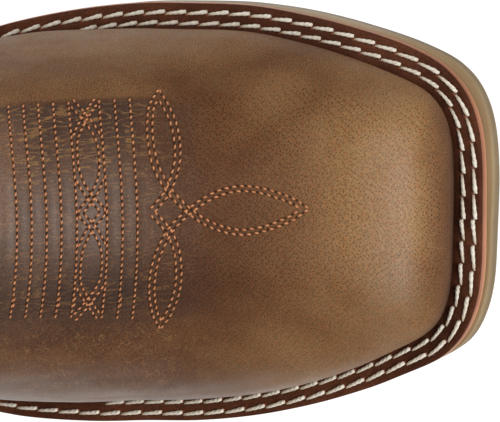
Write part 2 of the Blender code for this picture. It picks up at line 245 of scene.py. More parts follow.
def ease(t):
    """0 to 1 with level ends."""
    t = np.clip(t, 0.0, 1.0)
    return t * t * (3 - 2 * t)


def soft_step(value, edge, soft):
    """0 before the edge, 1 after it, over a soft width."""
    return ease((value - edge) / soft + 0.5)


def unit(v):
    """Vectors of length 1."""
    return v / np.maximum(np.linalg.norm(v, axis=-1, keepdims=True), TINY)


def tread(x, y):
    """Height of the outsole's underside above the floor."""
    forward = np.maximum(x - SPRING_SKEW * y - TREAD_FRONT, 0.0) / (LENGTH / 2 - TREAD_FRONT)
    return TOE_SPRING * forward**2 + HEEL_LIFT * ease((TREAD_BACK - x) / (TREAD_BACK - SEAT_FRONT))


def lift(x, y, height):
    """Points a given height above the underside, measured square to it."""
    slope_x = (tread(x + SLOPE_STEP, y) - tread(x - SLOPE_STEP, y)) / (2 * SLOPE_STEP)
    slope_y = (tread(x, y + SLOPE_STEP) - tread(x, y - SLOPE_STEP)) / (2 * SLOPE_STEP)
    share = height / np.sqrt(1 + slope_x**2 + slope_y**2)
    return np.stack([x - share * slope_x, y - share * slope_y, tread(x, y) + share], -1)


def raised(plan, height):
    """Points of a plan a given height above the underside."""
    return lift(plan[..., 0], plan[..., 1], height)


def run_along(points):
    """Length along a polyline up to each of its points."""
    steps = np.linalg.norm(np.diff(points, axis=0), axis=1)
    return np.concatenate([[0.0], np.cumsum(steps)])


def sample(at, run, values):
    """Rows of values, given at places of a run, read at other places."""
    return np.stack([np.interp(at, run, c) for c in values.T], -1)


def fractions(points, at):
    """Points at fractions of a polyline's length."""
    run = run_along(points)
    return sample(np.asarray(at) * run[-1], run, points)


def welt_side(inner):
    """Fine outline of one side of the welt, toe tip to heel tip."""
    table = columns(OUTLINE, SIDE_COLUMNS)
    toe = dict(zip(END_COLUMNS, TOE_INNER if inner else TOE_OUTER))
    heel = dict(zip(END_COLUMNS, HEEL_END))
    angle = np.linspace(np.pi / 2, 0, FINE)
    toe_x = toe["start"] + (toe["tip"] - toe["start"]) * np.sin(angle) ** (2 / toe["rise"])
    heel_x = heel["start"] + (heel["tip"] - heel["start"]) * np.sin(angle) ** (2 / heel["rise"])
    x = np.concatenate([toe_x, np.linspace(toe["start"], heel["start"], FINE)[1:-1], heel_x[::-1]])
    half = smooth(x, table["x"], table["inner" if inner else "outer"])
    for end in (toe, heel):
        t = np.clip((x - end["start"]) / (end["tip"] - end["start"]), 0, 1)
        half = half * (1 - t ** end["rise"]) ** (1 / end["square"])
    return fractions(np.stack([x, half if inner else -half], -1), np.linspace(0, 1, OUTLINE_POINTS))


WELT_SIDES = {inner: welt_side(inner) for inner in (True, False)}


def inset_side(inner, inset, at):
    """One side of the welt outline moved inward, at fractions of its length."""
    line = WELT_SIDES[inner]
    along = unit(np.gradient(line, axis=0))
    inward = np.stack([-along[:, 1], along[:, 0]], -1) * (1 if inner else -1)
    amount = inset(line[:, 0], line[:, 1]) if callable(inset) else inset
    moved = line + inward * np.broadcast_to(amount, len(line))[:, None]
    moved[:, 1] = np.maximum(moved[:, 1], 0) if inner else np.minimum(moved[:, 1], 0)
    return fractions(moved, at)


def middles(count):
    """Fractions at the middles of equal steps."""
    return (np.arange(count) + 0.5) / count


def crowded(count, share):
    """Fractions that lie closer together at the toe end."""
    s = middles(count)
    return share * s + (1 - share) * s**3


def outline_loop(inset, count=SOLE_SIDE):
    """Closed outline: inner side toe to heel, then outer side heel to toe."""
    inner = inset_side(True, inset, middles(count))
    outer = inset_side(False, inset, middles(count))
    return np.vstack([inner, outer[::-1]])


def side_value(rows, x, y):
    """A table's value at x, blended from side to side across the toe and heel tips."""
    table = columns(rows, SIDE_COLUMNS)
    share = soft_step(y, 0.0, SIDE_BLEND)
    inner = smooth(x, table["x"], table["inner"])
    outer = smooth(x, table["x"], table["outer"])
    return inner * share + outer * (1 - share)


def sole_edge(x, y):
    """Inset of the outsole edge; negative where it stands beyond the welt."""
    return -side_value(SOLE_EDGE, x, y)


def feather_inset(x, y):
    """Inset of the upper's lower edge."""
    return side_value(FEATHER, x, y)


def feather_edge(inner):
    """Line along which one side of the upper meets the welt."""
    plan = inset_side(inner, feather_inset, np.linspace(0, 1, FINE))
    return raised(plan, WELT_TOP + GAP)


FEATHER_EDGES = {inner: feather_edge(inner) for inner in (True, False)}
LAST_TABLE = columns(LAST, LAST_COLUMNS)
FRONT_RUN = np.hypot(np.diff(LAST_TABLE["front_x"]), np.diff(LAST_TABLE["front_z"]))


def last_rows(v):
    """The last's table at a fraction v of the way up the front line."""
    run = np.concatenate([[0.0], np.cumsum(FRONT_RUN)])
    return {name: smooth(v, run / run[-1], column) for name, column in LAST_TABLE.items()}


def tube_side(row, t):
    """Plan of the tube: nose, straight side and heel, front to back at t from 0 to 1."""
    power = 2 / row["power"]
    straight = max(row["front_x"] - row["back_x"] - row["nose_long"] - row["heel_long"], 0.0)
    nose_run = np.hypot(row["nose_long"], row["nose_half"]) * QUARTER
    heel_run = np.hypot(row["heel_long"], row["heel_half"]) * QUARTER
    s = t * (nose_run + straight + heel_run)
    nose = np.clip(s / nose_run, 0, 1) * np.pi / 2
    side = np.clip((s - nose_run) / max(straight, TINY), 0, 1)
    heel = np.clip((s - nose_run - straight) / heel_run, 0, 1) * np.pi / 2
    x = row["front_x"] - row["nose_long"] * (1 - np.maximum(np.cos(nose), 0) ** power)
    x = x - straight * side - row["heel_long"] * np.sin(heel) ** power
    half = row["nose_half"] + (row["heel_half"] - row["nose_half"]) * ease(side)
    return x, half * np.sin(nose) ** power * np.maximum(np.cos(heel), 0) ** power


def ring(v, at):
    """One ring of the last, with its points at fractions of each side's length."""
    row = last_rows(v)
    foot = last_rows(0.0)
    t = np.linspace(0, 1, FINE)
    sides = []
    for inner in (True, False):
        edge = FEATHER_EDGES[inner]
        length = row["front_x"] - row["back_x"]
        along = (edge[:, 0] - edge[-1, 0]) / (edge[0, 0] - edge[-1, 0])
        level = foot["back_z"] + (foot["front_z"] - foot["back_z"]) * along
        tube_x, tube_half = tube_side(row, t)
        share = row["sole_share"]
        x = share * (row["back_x"] + along * length) + (1 - share) * tube_x
        y = share * edge[:, 1] * row["girth"] + (1 - share) * tube_half * (1 if inner else -1)
        along_ring = (x - row["back_x"]) / length
        dip = COLLAR_DIP * ease((v - COLLAR_DIP_FROM) / (1 - COLLAR_DIP_FROM)) * (2 * along_ring - 1) ** 2
        z = row["back_z"] + (row["front_z"] - row["back_z"]) * along_ring + share * (edge[:, 2] - level) - dip
        points = np.stack([x, y + row["ridge_y"] * along_ring**2, z], -1)
        sides.append(fractions(points, at))
    return np.vstack([sides[0], sides[1][::-1]])


def skin_stack(at):
    """Rings of the last at many levels."""
    return np.array([ring(v, at) for v in np.linspace(0, 1, LEVELS)])


def levels_at(stack, heights):
    """Level v at which each column of the stack reaches its height."""
    v = np.linspace(0, 1, len(stack))
    climb = np.maximum.accumulate(stack[..., 2], axis=0)
    return np.array([np.interp(z, climb[:, k], v) for k, z in enumerate(heights)])


def skin(stack, v):
    """Points of the last's surface, one level per column in each row."""
    place = np.clip(v, 0, 1) * (len(stack) - 1)
    low = np.minimum(place.astype(int), len(stack) - 2)
    part = (place - low)[..., None]
    column = np.broadcast_to(np.arange(stack.shape[1]), v.shape)
    return stack[low, column] * (1 - part) + stack[low + 1, column] * part


def outward(grid, closed=True):
    """Unit normals of a grid of rows up and columns round."""
    if closed:
        around = np.roll(grid, -1, 1) - np.roll(grid, 1, 1)
    else:
        around = np.gradient(grid, axis=1)
    return unit(np.cross(around, np.gradient(grid, axis=0)))


def seam_levels(stack, at):
    """Level of the seam between upper and shaft, for each column."""
    table = columns(SEAM, ROUND_COLUMNS)
    way = np.concatenate([at, at[::-1]])
    return levels_at(stack, smooth(way, table["round"], table["z"]))


# Meshes


def grid_faces(rows, count, round_closed=False, rows_closed=False):
    """Quads of a grid, closed or open either way."""
    r = np.arange(rows if rows_closed else rows - 1)[:, None]
    k = np.arange(count if round_closed else count - 1)[None, :]
    after_r = (r + 1) % rows
    after_k = (k + 1) % count
    corners = [r * count + k, r * count + after_k, after_r * count + after_k, after_r * count + k]
    return np.stack([np.broadcast_to(c, (len(r), k.shape[1])) for c in corners], -1).reshape(-1, 4)


def face_outward(mesh):
    """Turns the faces of a closed mesh outward."""
    shape = bmesh.new()
    shape.from_mesh(mesh)
    if shape.calc_volume(signed=True) < 0:
        mesh.flip_normals()
    shape.free()


def add_piece(name, vertices, faces, materials, slot, face_material=None, node=None, sharp=SHARP):
    """One visible piece, riding on the boot's body."""
    mesh = bpy.data.meshes.new(name)
    points = np.asarray(vertices).reshape(-1, 3) * MM
    mesh.from_pydata(points.tolist(), [], faces if isinstance(faces, list) else faces.tolist())
    for material in materials:
        mesh.materials.append(material)
    if face_material is not None:
        mesh.polygons.foreach_set("material_index", np.asarray(face_material, np.int32))
    mesh.update()
    face_outward(mesh)
    mesh.shade_smooth()
    if sharp is not None:
        mesh.set_sharp_from_angle(angle=sharp)
    piece = bpy.data.objects.new(name, mesh)
    bpy.context.scene.collection.objects.link(piece)
    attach(piece, BODY)
    if node is not None:
        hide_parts(node)
    return piece


def slab_faces(rows, count):
    """Quads of a closed slab between a front grid and a back grid of the same size."""
    front = grid_faces(rows, count)
    size = rows * count
    a = np.array(rim_of(rows, count))
    b = np.roll(a, -1)
    edge = np.stack([b, a, size + a, size + b], -1)
    return np.vstack([front, front[:, ::-1] + size, edge])


def set_facing(piece, normals):
    """How far each vertex faces up, and how far it faces the front or back rather than the sides."""
    steep = np.abs(normals.reshape(-1, 3))
    set_value(piece, "faces_up", ease((steep[:, 2] - UP_FROM) / UP_OVER))
    set_value(piece, "faces_front", soft_step(steep[:, 0] - steep[:, 1], 0.0, FRONT_OVER))


def set_value(piece, name, values):
    """A named number on each vertex, which the piece's material reads."""
    attribute = piece.data.attributes.new(name, "FLOAT", "POINT")
    attribute.data.foreach_set("value", np.asarray(values, np.float32).ravel())


# Stitched pattern of the vamp in plan: bowed rows, a chain between two of them, a three-leaf figure
ROW_X = (34.7, 38.0, 41.35, 44.7, 48.2, 55.2, 58.8, 62.3)
ROW_BOW = (3.7, 2.8)
ROW_MIDDLE_Y = (10.7, 9.1)
ROW_HALF = (26.3, 28.1)
CHAIN_BEFORE = 4
CHAIN_COLUMNS = ("along", "offset")
CHAIN = (
    (-1, -3.3),
    (-0.82, 0),
    (-0.66, 2.5),
    (-0.47, 3.1),
    (-0.27, 2.4),
    (-0.092, 0),
    (0.034, -2.4),
    (0.159, 0),
    (0.33, 2.4),
    (0.51, 3.1),
    (0.70, 2.5),
    (0.858, 0),
    (1, -3.2),
)
CHAIN_ROOM = 3.2
TWIN = 0.64
TIP_BLEND = 5.0
TIP_SHORT = 2.2
LEAF_TOP = (66.4, 38.9)
LEAF_SIDE = (104.2, 7.9)
LEAF_LOW = (66.1, -22.4)
CROSS_TOP = (69.8, 14.9)
CROSS_FRONT = (74.7, 9.1)
CROSS_LOW = (69.7, 4.1)
CORNER_BACK = (65.6, 9.6)
TOP_LEFT = ((65.0, 34.7), (64.9, 32.4), (65.1, 28.4), (65.7, 24.8), (66.6, 21.1), (68.3, 17.4))
TOP_RIGHT = ((70.9, 17.7), (71.7, 20.8), (71.9, 24.4), (71.3, 28.5), (70.3, 31.6), (68.9, 34.2))
SIDE_UPPER = ((97.4, 11.3), (92.5, 13.1), (86.7, 14.0), (82.7, 13.4), (78.6, 11.7))
SIDE_LOWER = ((78.3, 6.2), (82.6, 4.0), (86.7, 2.9), (92.4, 3.3), (97.4, 4.8))
LOW_LEFT = ((68.2, 1.4), (66.9, -1.4), (65.9, -4.5), (65.0, -9.4), (64.9, -14.3), (65.2, -17.5))
LOW_RIGHT = ((68.8, -17.2), (70.5, -13.2), (71.5, -8.9), (71.7, -4.5), (71.3, -0.5))
FIGURE = (
    (LEAF_TOP, *TOP_LEFT, CROSS_TOP, CROSS_FRONT, *SIDE_LOWER, LEAF_SIDE),
    (LEAF_SIDE, *SIDE_UPPER, CROSS_FRONT, CROSS_LOW, *LOW_LEFT, LEAF_LOW),
    (LEAF_LOW, *LOW_RIGHT, CROSS_LOW, CORNER_BACK),
    (CORNER_BACK, CROSS_TOP, *TOP_RIGHT, LEAF_TOP),
)
FIGURE_TIPS = ((1, 1), (1, 1), (1, 0), (0, 1))
ROW_PITCH = 1.74
FIGURE_PITCH = 2.05
TACK_ROWS = (0, 3, 4, 6)
TACK_FROM = -0.76
TACK_TO = -0.88
TACK_ASIDE = 0.36
TACK_POINTS = 40
LINE_POINTS = 240
SHORT_RUN = 12
DROP_FROM = 400.0
SOFTEN_TIMES = 6


def spline(points):
    """A smooth line through a few plan points, at even steps."""
    p = np.array(points, float)
    run = run_along(p)
    at = np.linspace(0, run[-1], LINE_POINTS)
    return fractions(np.stack([smooth(at, run, c) for c in p.T], -1), np.linspace(0, 1, LINE_POINTS))


def beside(line, offset):
    """A plan line moved sideways, by one offset or by one for each point."""
    along = unit(np.gradient(line, axis=0))
    amount = np.broadcast_to(offset, len(line))[:, None]
    return line + np.stack([-along[:, 1], along[:, 0]], -1) * amount


def row_values(x):
    """Bow, middle and half length of the row at x, which change evenly from the first row to the last."""
    t = (x - ROW_X[0]) / (ROW_X[-1] - ROW_X[0])
    return [low + (high - low) * t for low, high in (ROW_BOW, ROW_MIDDLE_Y, ROW_HALF)]


def row_line(x, offsets=0.0, along=None):
    """A bowed row across the vamp, from the inner end to the outer end."""
    bow, middle, half = row_values(x)
    s = np.linspace(1, -1, LINE_POINTS) if along is None else along
    return np.stack([x - bow * s * s + offsets, middle + half * s], -1)


def chain_lines():
    """Two twin lines that cross each other between two rows, left out where they run along a row."""
    chain = columns(CHAIN, CHAIN_COLUMNS)
    s = np.linspace(1, -1, FINE)
    middle = (ROW_X[CHAIN_BEFORE] + ROW_X[CHAIN_BEFORE + 1]) / 2
    swing = smooth(s, chain["along"], chain["offset"])
    lines = []
    for side in (1, -1):
        for twin in (TWIN, -TWIN):
            line = beside(row_line(middle, swing * side, s), twin)
            off = np.abs(line[:, 0] - row_line(middle, 0.0, s)[:, 0])
            lines += runs(line, off < CHAIN_ROOM)
    return lines


def runs(line, keep):
    """The stretches of a line that are kept."""
    breaks = np.nonzero(np.diff(keep.astype(int)))[0] + 1
    pieces = np.split(np.arange(len(line)), breaks)
    return [line[p] for p in pieces if keep[p[0]] and len(p) > SHORT_RUN]


def figure_lines():
    """Twin lines of the three-leaf figure: the outer ones meet at the tips, the inner ones end before."""
    lines = []
    for part, (start_tip, end_tip) in zip(FIGURE, FIGURE_TIPS):
        middle = spline(part)
        run = np.linspace(0, run_along(middle)[-1], len(middle))
        near = np.ones(len(middle))
        if start_tip:
            near = near * ease(run / TIP_BLEND)
        if end_tip:
            near = near * ease((run[-1] - run) / TIP_BLEND)
        lines.append(beside(middle, -TWIN * near))
        inner = beside(middle, TWIN * (2 - near))
        keep = (run > TIP_SHORT * start_tip) & (run < run[-1] - TIP_SHORT * end_tip)
        lines.append(inner[keep])
    return lines


def vamp_lines():
    """Every stitched line of the vamp in plan, with its stitch pitch."""
    lines = [(row_line(x), ROW_PITCH) for x in ROW_X]
    lines += [(line, ROW_PITCH) for line in chain_lines()]
    tack = np.linspace(TACK_FROM, TACK_TO, TACK_POINTS)
    lines += [(beside(row_line(ROW_X[n], 0.0, tack), TACK_ASIDE), ROW_PITCH) for n in TACK_ROWS]
    return lines + [(line, FIGURE_PITCH) for line in figure_lines()]


def drop(tree, line):
    """A plan line dropped onto a surface from above: points and softened normals."""
    points, normals = [], []
    for x, y in line:
        hit, normal, _, _ = tree.ray_cast(Vector((x, y, DROP_FROM)), Vector((0.0, 0.0, -1.0)))
        if hit is None:
            continue
        points.append(tuple(hit))
        normals.append(tuple(normal))
    normals = np.array(normals)
    for _ in range(SOFTEN_TIMES):
        normals[1:-1] = (normals[:-2] + normals[1:-1] + normals[2:]) / 3
    return np.array(points), unit(normals)


def tree_of(grid):
    """Search tree over a grid that is closed round the boot."""
    rows, count = grid.shape[:2]
    return BVHTree.FromPolygons(grid.reshape(-1, 3).tolist(), grid_faces(rows, count, True).tolist())


# Relief of the leather beside the stitches
GROOVE_DEEP = 0.16
GROOVE_WIDE = 0.5
BAND_HIGH = 0.27
BAND_WIDE = 3.4
BAND_END = 1.03
BAND_FADE = 0.14
SEARCH_ROOM = 12.0
FAR_AWAY = 99.0


def search_tree(points):
    """Search tree over points."""
    tree = KDTree(len(points))
    for i, p in enumerate(points):
        tree.insert(p, i)
    tree.balance()
    return tree


def stitch_distance(points, lines):
    """Distance from each point to the nearest stitched line."""
    marks = np.vstack(lines)
    tree = search_tree(marks)
    low, high = marks.min(0) - SEARCH_ROOM, marks.max(0) + SEARCH_ROOM
    far = np.full(len(points), FAR_AWAY)
    for i in np.nonzero(np.all((points > low) & (points < high), axis=1))[0]:
        far[i] = tree.find(points[i])[2]
    return far


def groove(far):
    """Depth to which a stitched line pulls the leather in."""
    return -GROOVE_DEEP * np.exp(-((far / GROOVE_WIDE) ** 2))


# Soft creases in the side view, from the instep and the heel across the ankle: ends, depth and width
CREASE_COLUMNS = ("x", "z", "to_x", "to_z", "deep", "wide")
CREASES = (
    (-20, 150, -78, 133, 0.8, 5),
    (-9, 130, -66, 115, 1.1, 5.5),
    (12, 110, -44, 97, 0.9, 5),
    (30, 90, -16, 74, 0.6, 4.5),
    (-148, 156, -96, 146, 0.8, 6),
    (-147, 132, -92, 124, 1, 5.5),
    (-150, 186, -108, 181, 0.5, 7),
    (-26, 190, -64, 181, 0.5, 7),
)
CREASE_RIDGE = 0.55
CREASE_RIDGE_OFF = 1.7
CREASE_TAPER = 0.22
CREASE_AT_SEAM = 0.3
CREASE_SEAM_WIDE = 14.0


def creases(points):
    """Soft troughs with a ridge along each side, tapered at both ends."""
    height = np.zeros(len(points))
    place = points[:, [0, 2]]
    for row in CREASES:
        crease = dict(zip(CREASE_COLUMNS, row))
        start = np.array((crease["x"], crease["z"]))
        run = np.array((crease["to_x"], crease["to_z"])) - start
        along = (place - start) @ run / (run @ run)
        off = (place - start) @ np.array((-run[1], run[0])) / np.hypot(*run) / crease["wide"]
        fade = ease((along + CREASE_TAPER) / CREASE_TAPER)
        fade = fade * ease((1 + CREASE_TAPER - along) / (2 * CREASE_TAPER))
        ridge = np.exp(-((np.abs(off) - CREASE_RIDGE_OFF) ** 2))
        trough = -np.exp(-(off**2)) + CREASE_RIDGE * ridge
        height = height + crease["deep"] * trough * fade
    return height


def seam_fade(run):
    """Share of the creases left at a given way from the stiff seam."""
    return CREASE_AT_SEAM + (1 - CREASE_AT_SEAM) * ease(run / CREASE_SEAM_WIDE)


def from_top(grid):
    """Length down each column from a grid's top edge."""
    steps = np.linalg.norm(np.diff(grid, axis=0), axis=2)[::-1]
    return np.concatenate([np.zeros((1, grid.shape[1])), np.cumsum(steps, axis=0)])[::-1]


def below_edge(grid, depth, closed=True):
    """Points and normals a given way down from a grid's top edge, one for each column."""
    run = from_top(grid)
    normal = outward(grid, closed)
    values = np.concatenate([grid, normal], -1)
    picked = np.array([sample(depth, run[::-1, k], values[::-1, k]) for k in range(grid.shape[1])])
    return picked[:, :3], unit(picked[:, 3:])


def rounded(grid, radius, closed=True):
    """A grid whose top edge is rolled inward."""
    left = np.maximum(radius - from_top(grid), 0.0)
    return grid - outward(grid, closed) * (radius - np.sqrt(radius**2 - left**2))[..., None]


def closed_path(points, normals):
    """A path that ends where it starts."""
    return np.vstack([points, points[:1]]), np.vstack([normals, normals[:1]])


def row_bands(points):
    """Low rounded rolls of leather between the rows."""
    bow, middle, half = row_values(points[:, 0])
    s = (points[:, 1] - middle) / half
    place = points[:, 0] + bow * s * s
    edges = np.array((ROW_X[0] - BAND_WIDE, *ROW_X, ROW_X[-1] + BAND_WIDE))
    band = np.clip(np.searchsorted(edges, place) - 1, 0, len(edges) - 2)
    t = np.clip((place - edges[band]) / (edges[band + 1] - edges[band]), 0, 1)
    return BAND_HIGH * 4 * t * (1 - t) * ease((BAND_END - np.abs(s)) / BAND_FADE)


# Threads


def path_frames(points, normals, at):
    """Points, tangents, normals and sideways directions at lengths along a path."""
    run = run_along(points)
    flat = np.ravel(at)
    place = sample(flat, run, points)
    along = unit(sample(flat, run, unit(np.gradient(points, axis=0))))
    up = unit(sample(flat, run, normals))
    side = unit(np.cross(along, up))
    shape = np.shape(at) + (3,)
    return place.reshape(shape), along.reshape(shape), up.reshape(shape), side.reshape(shape)


def tubes(centres, up, side, radius, sides):
    """Closed tubes: one per row of centres, with a radius at each ring. Returns vertices and faces."""
    count, rings = centres.shape[:2]
    angle = np.arange(sides) / sides * 2 * np.pi
    radial = side[:, :, None] * np.cos(angle)[:, None] + up[:, :, None] * np.sin(angle)[:, None]
    vertices = centres[:, :, None] + radial * np.broadcast_to(radius, (count, rings))[:, :, None, None]
    one = grid_faces(rings, sides, True)
    start = np.arange(sides)
    cap = [tuple(start[::-1]), tuple((rings - 1) * sides + start)]
    faces = []
    size = rings * sides
    for n in range(count):
        faces += (one + n * size).tolist()
        faces += [tuple(int(i) + n * size for i in c) for c in cap]
    return vertices.reshape(-1, 3), faces


def join_parts(parts):
    """Vertices and faces of several parts as one mesh."""
    vertices, faces, start = [], [], 0
    for v, f in parts:
        vertices.append(v)
        faces += [tuple(i + start for i in face) for face in f]
        start += len(v)
    return np.vstack(vertices), faces


# Single stitches: fineness, height over the leather, sinking and thinning of their ends
STITCH_RINGS = 7
STITCH_SIDES = 6
STITCH_LOW = 0.05
STITCH_SINK = 0.9
STITCH_SINK_POWER = 4
STITCH_THIN = 0.55
STITCH_TIP = 0.02
HOLE_SIDES = 7
HOLE_DEEP = 1.6


def stitch_edges(points, pitch):
    """Lengths along a path at which stitches begin and end; pitch may change from point to point."""
    steps = np.linalg.norm(np.diff(points, axis=0), axis=1)
    local = np.broadcast_to(pitch, len(points))
    turns = np.concatenate([[0.0], np.cumsum(steps / ((local[1:] + local[:-1]) / 2))])
    count = max(int(round(turns[-1])), 1)
    return np.interp(np.arange(count + 1) / count * turns[-1], turns, run_along(points))


def between(edges, t):
    """Lengths at fractions t of each stitch."""
    return edges[:-1, None] + np.diff(edges)[:, None] * t[None]


def stitch_row(points, normals, pitch, radius, gap, arch, slant=0.0):
    """A row of single stitches along a path, each one rising out of its needle hole and back in."""
    t = np.linspace(0, 1, STITCH_RINGS)
    at = between(stitch_edges(points, pitch), gap / 2 + (1 - gap) * t)
    place, _, up, side = path_frames(points, normals, at)
    sink = radius * STITCH_SINK * np.abs(2 * t - 1) ** STITCH_SINK_POWER
    height = (STITCH_LOW + arch * np.sin(np.pi * t) - sink)[None, :, None]
    place = place + up * height + side * (slant * (t - 0.5))[None, :, None]
    swell = np.sqrt(np.sin(np.pi * np.clip(t, STITCH_TIP, 1 - STITCH_TIP)))
    thick = radius * (STITCH_THIN + (1 - STITCH_THIN) * swell)
    return tubes(place, up, side, thick[None], STITCH_SIDES)


def thread_ends(vertices):
    """How near each vertex of stitch rows lies to its stitch's ends, from 0 in the middle to 1."""
    one = np.repeat(np.abs(2 * np.linspace(0, 1, STITCH_RINGS) - 1), STITCH_SIDES)
    return np.tile(one, len(vertices) // len(one))


def add_threads(name, rows, slot):
    """Rows of copper stitches as one piece."""
    vertices, faces = join_parts(rows)
    piece = add_piece(name, vertices, faces, [FINISH["copper"]], slot, sharp=None)
    # Stitch ends take painted shade where they sink into their holes
    set_value(piece, "ends", thread_ends(vertices))


def needle_holes(points, normals, pitch, long, wide, lift_by=0.03, aside=0.0):
    """Small dark pits at the ends of the stitches of a row."""
    place, along, up, side = path_frames(points, normals, stitch_edges(points, pitch)[1:-1])
    place = place + side * aside
    angle = np.arange(HOLE_SIDES) / HOLE_SIDES * 2 * np.pi
    rim = place[:, None] + long * along[:, None] * np.cos(angle)[:, None]
    rim = rim + wide * side[:, None] * np.sin(angle)[:, None] + up[:, None] * lift_by
    tip = place - up * wide * HOLE_DEEP
    vertices = np.concatenate([rim, tip[:, None]], 1)
    size = HOLE_SIDES + 1
    faces = []
    for base in range(0, len(place) * size, size):
        ring = [base + k for k in range(HOLE_SIDES)]
        faces += [(a, b, base + HOLE_SIDES) for a, b in zip(ring, ring[1:] + ring[:1])]
        faces.append(tuple(ring[::-1]))
    return vertices.reshape(-1, 3), faces


# Welt cord: fineness, lay and size of its two plies, and its shape along one stitch
CORD_RINGS = 23
CORD_SIDES = 8
CORD_LAY = 0.19
CORD_PLY = 0.82
CORD_SHAPE_COLUMNS = ("t", "thick", "height", "aside")
CORD_SHAPE = (
    (0, 0.40, -0.80, 0.80),
    (0.05, 0.62, -0.15, 0.62),
    (0.14, 0.78, 0.32, 0.40),
    (0.35, 0.90, 0.58, 0.10),
    (0.60, 1.02, 0.80, -0.22),
    (0.80, 1.16, 0.98, -0.50),
    (0.91, 1.14, 0.90, -0.60),
    (0.98, 0.90, 0.36, -0.66),
    (1.02, 0.55, -0.55, -0.68),
)


def cord_steps():
    """Fractions of a cord stitch at which its rings lie."""
    rows = np.linspace(0, 1, len(CORD_SHAPE))
    return np.interp(np.linspace(0, 1, CORD_RINGS), rows, columns(CORD_SHAPE, CORD_SHAPE_COLUMNS)["t"])


def cord_row(points, normals, pitch, radius, turns):
    """Stitches of two-ply cord: each starts thin beside its hole and ends in a fat raised knob."""
    shape = columns(CORD_SHAPE, CORD_SHAPE_COLUMNS)
    t = cord_steps()
    at = between(stitch_edges(points, pitch), t)
    place, _, up, side = path_frames(points, normals, at)
    thick, height, aside = (smooth(t, shape["t"], shape[k]) for k in ("thick", "height", "aside"))
    parts = []
    for ply in (0.0, np.pi):
        turn = 2 * np.pi * turns * t + ply
        out = radius * CORD_LAY * thick
        ply_place = place + up * (radius * height + out * np.sin(turn))[None, :, None]
        ply_place = ply_place + side * (radius * aside + out * np.cos(turn))[None, :, None]
        parts.append(tubes(ply_place, up, side, (radius * CORD_PLY * thick)[None], CORD_SIDES))
    return join_parts(parts)


def cord_starts(vertices):
    """How near each vertex of cord rows lies to the thin start of its stitch, from 1 down to 0."""
    one = np.repeat(1 - np.clip(cord_steps(), 0, 1), CORD_SIDES)
    return np.tile(one, len(vertices) // len(one))


# Materials


def plug(tree, socket, value):
    """Links an output to a socket, or sets the socket's own value."""
    if isinstance(value, bpy.types.NodeSocket):
        tree.links.new(value, socket)
    else:
        socket.default_value = value


def opaque(colour):
    """A constant colour with its alpha; an output as it is."""
    return (*colour, 1.0) if isinstance(colour, tuple) else colour


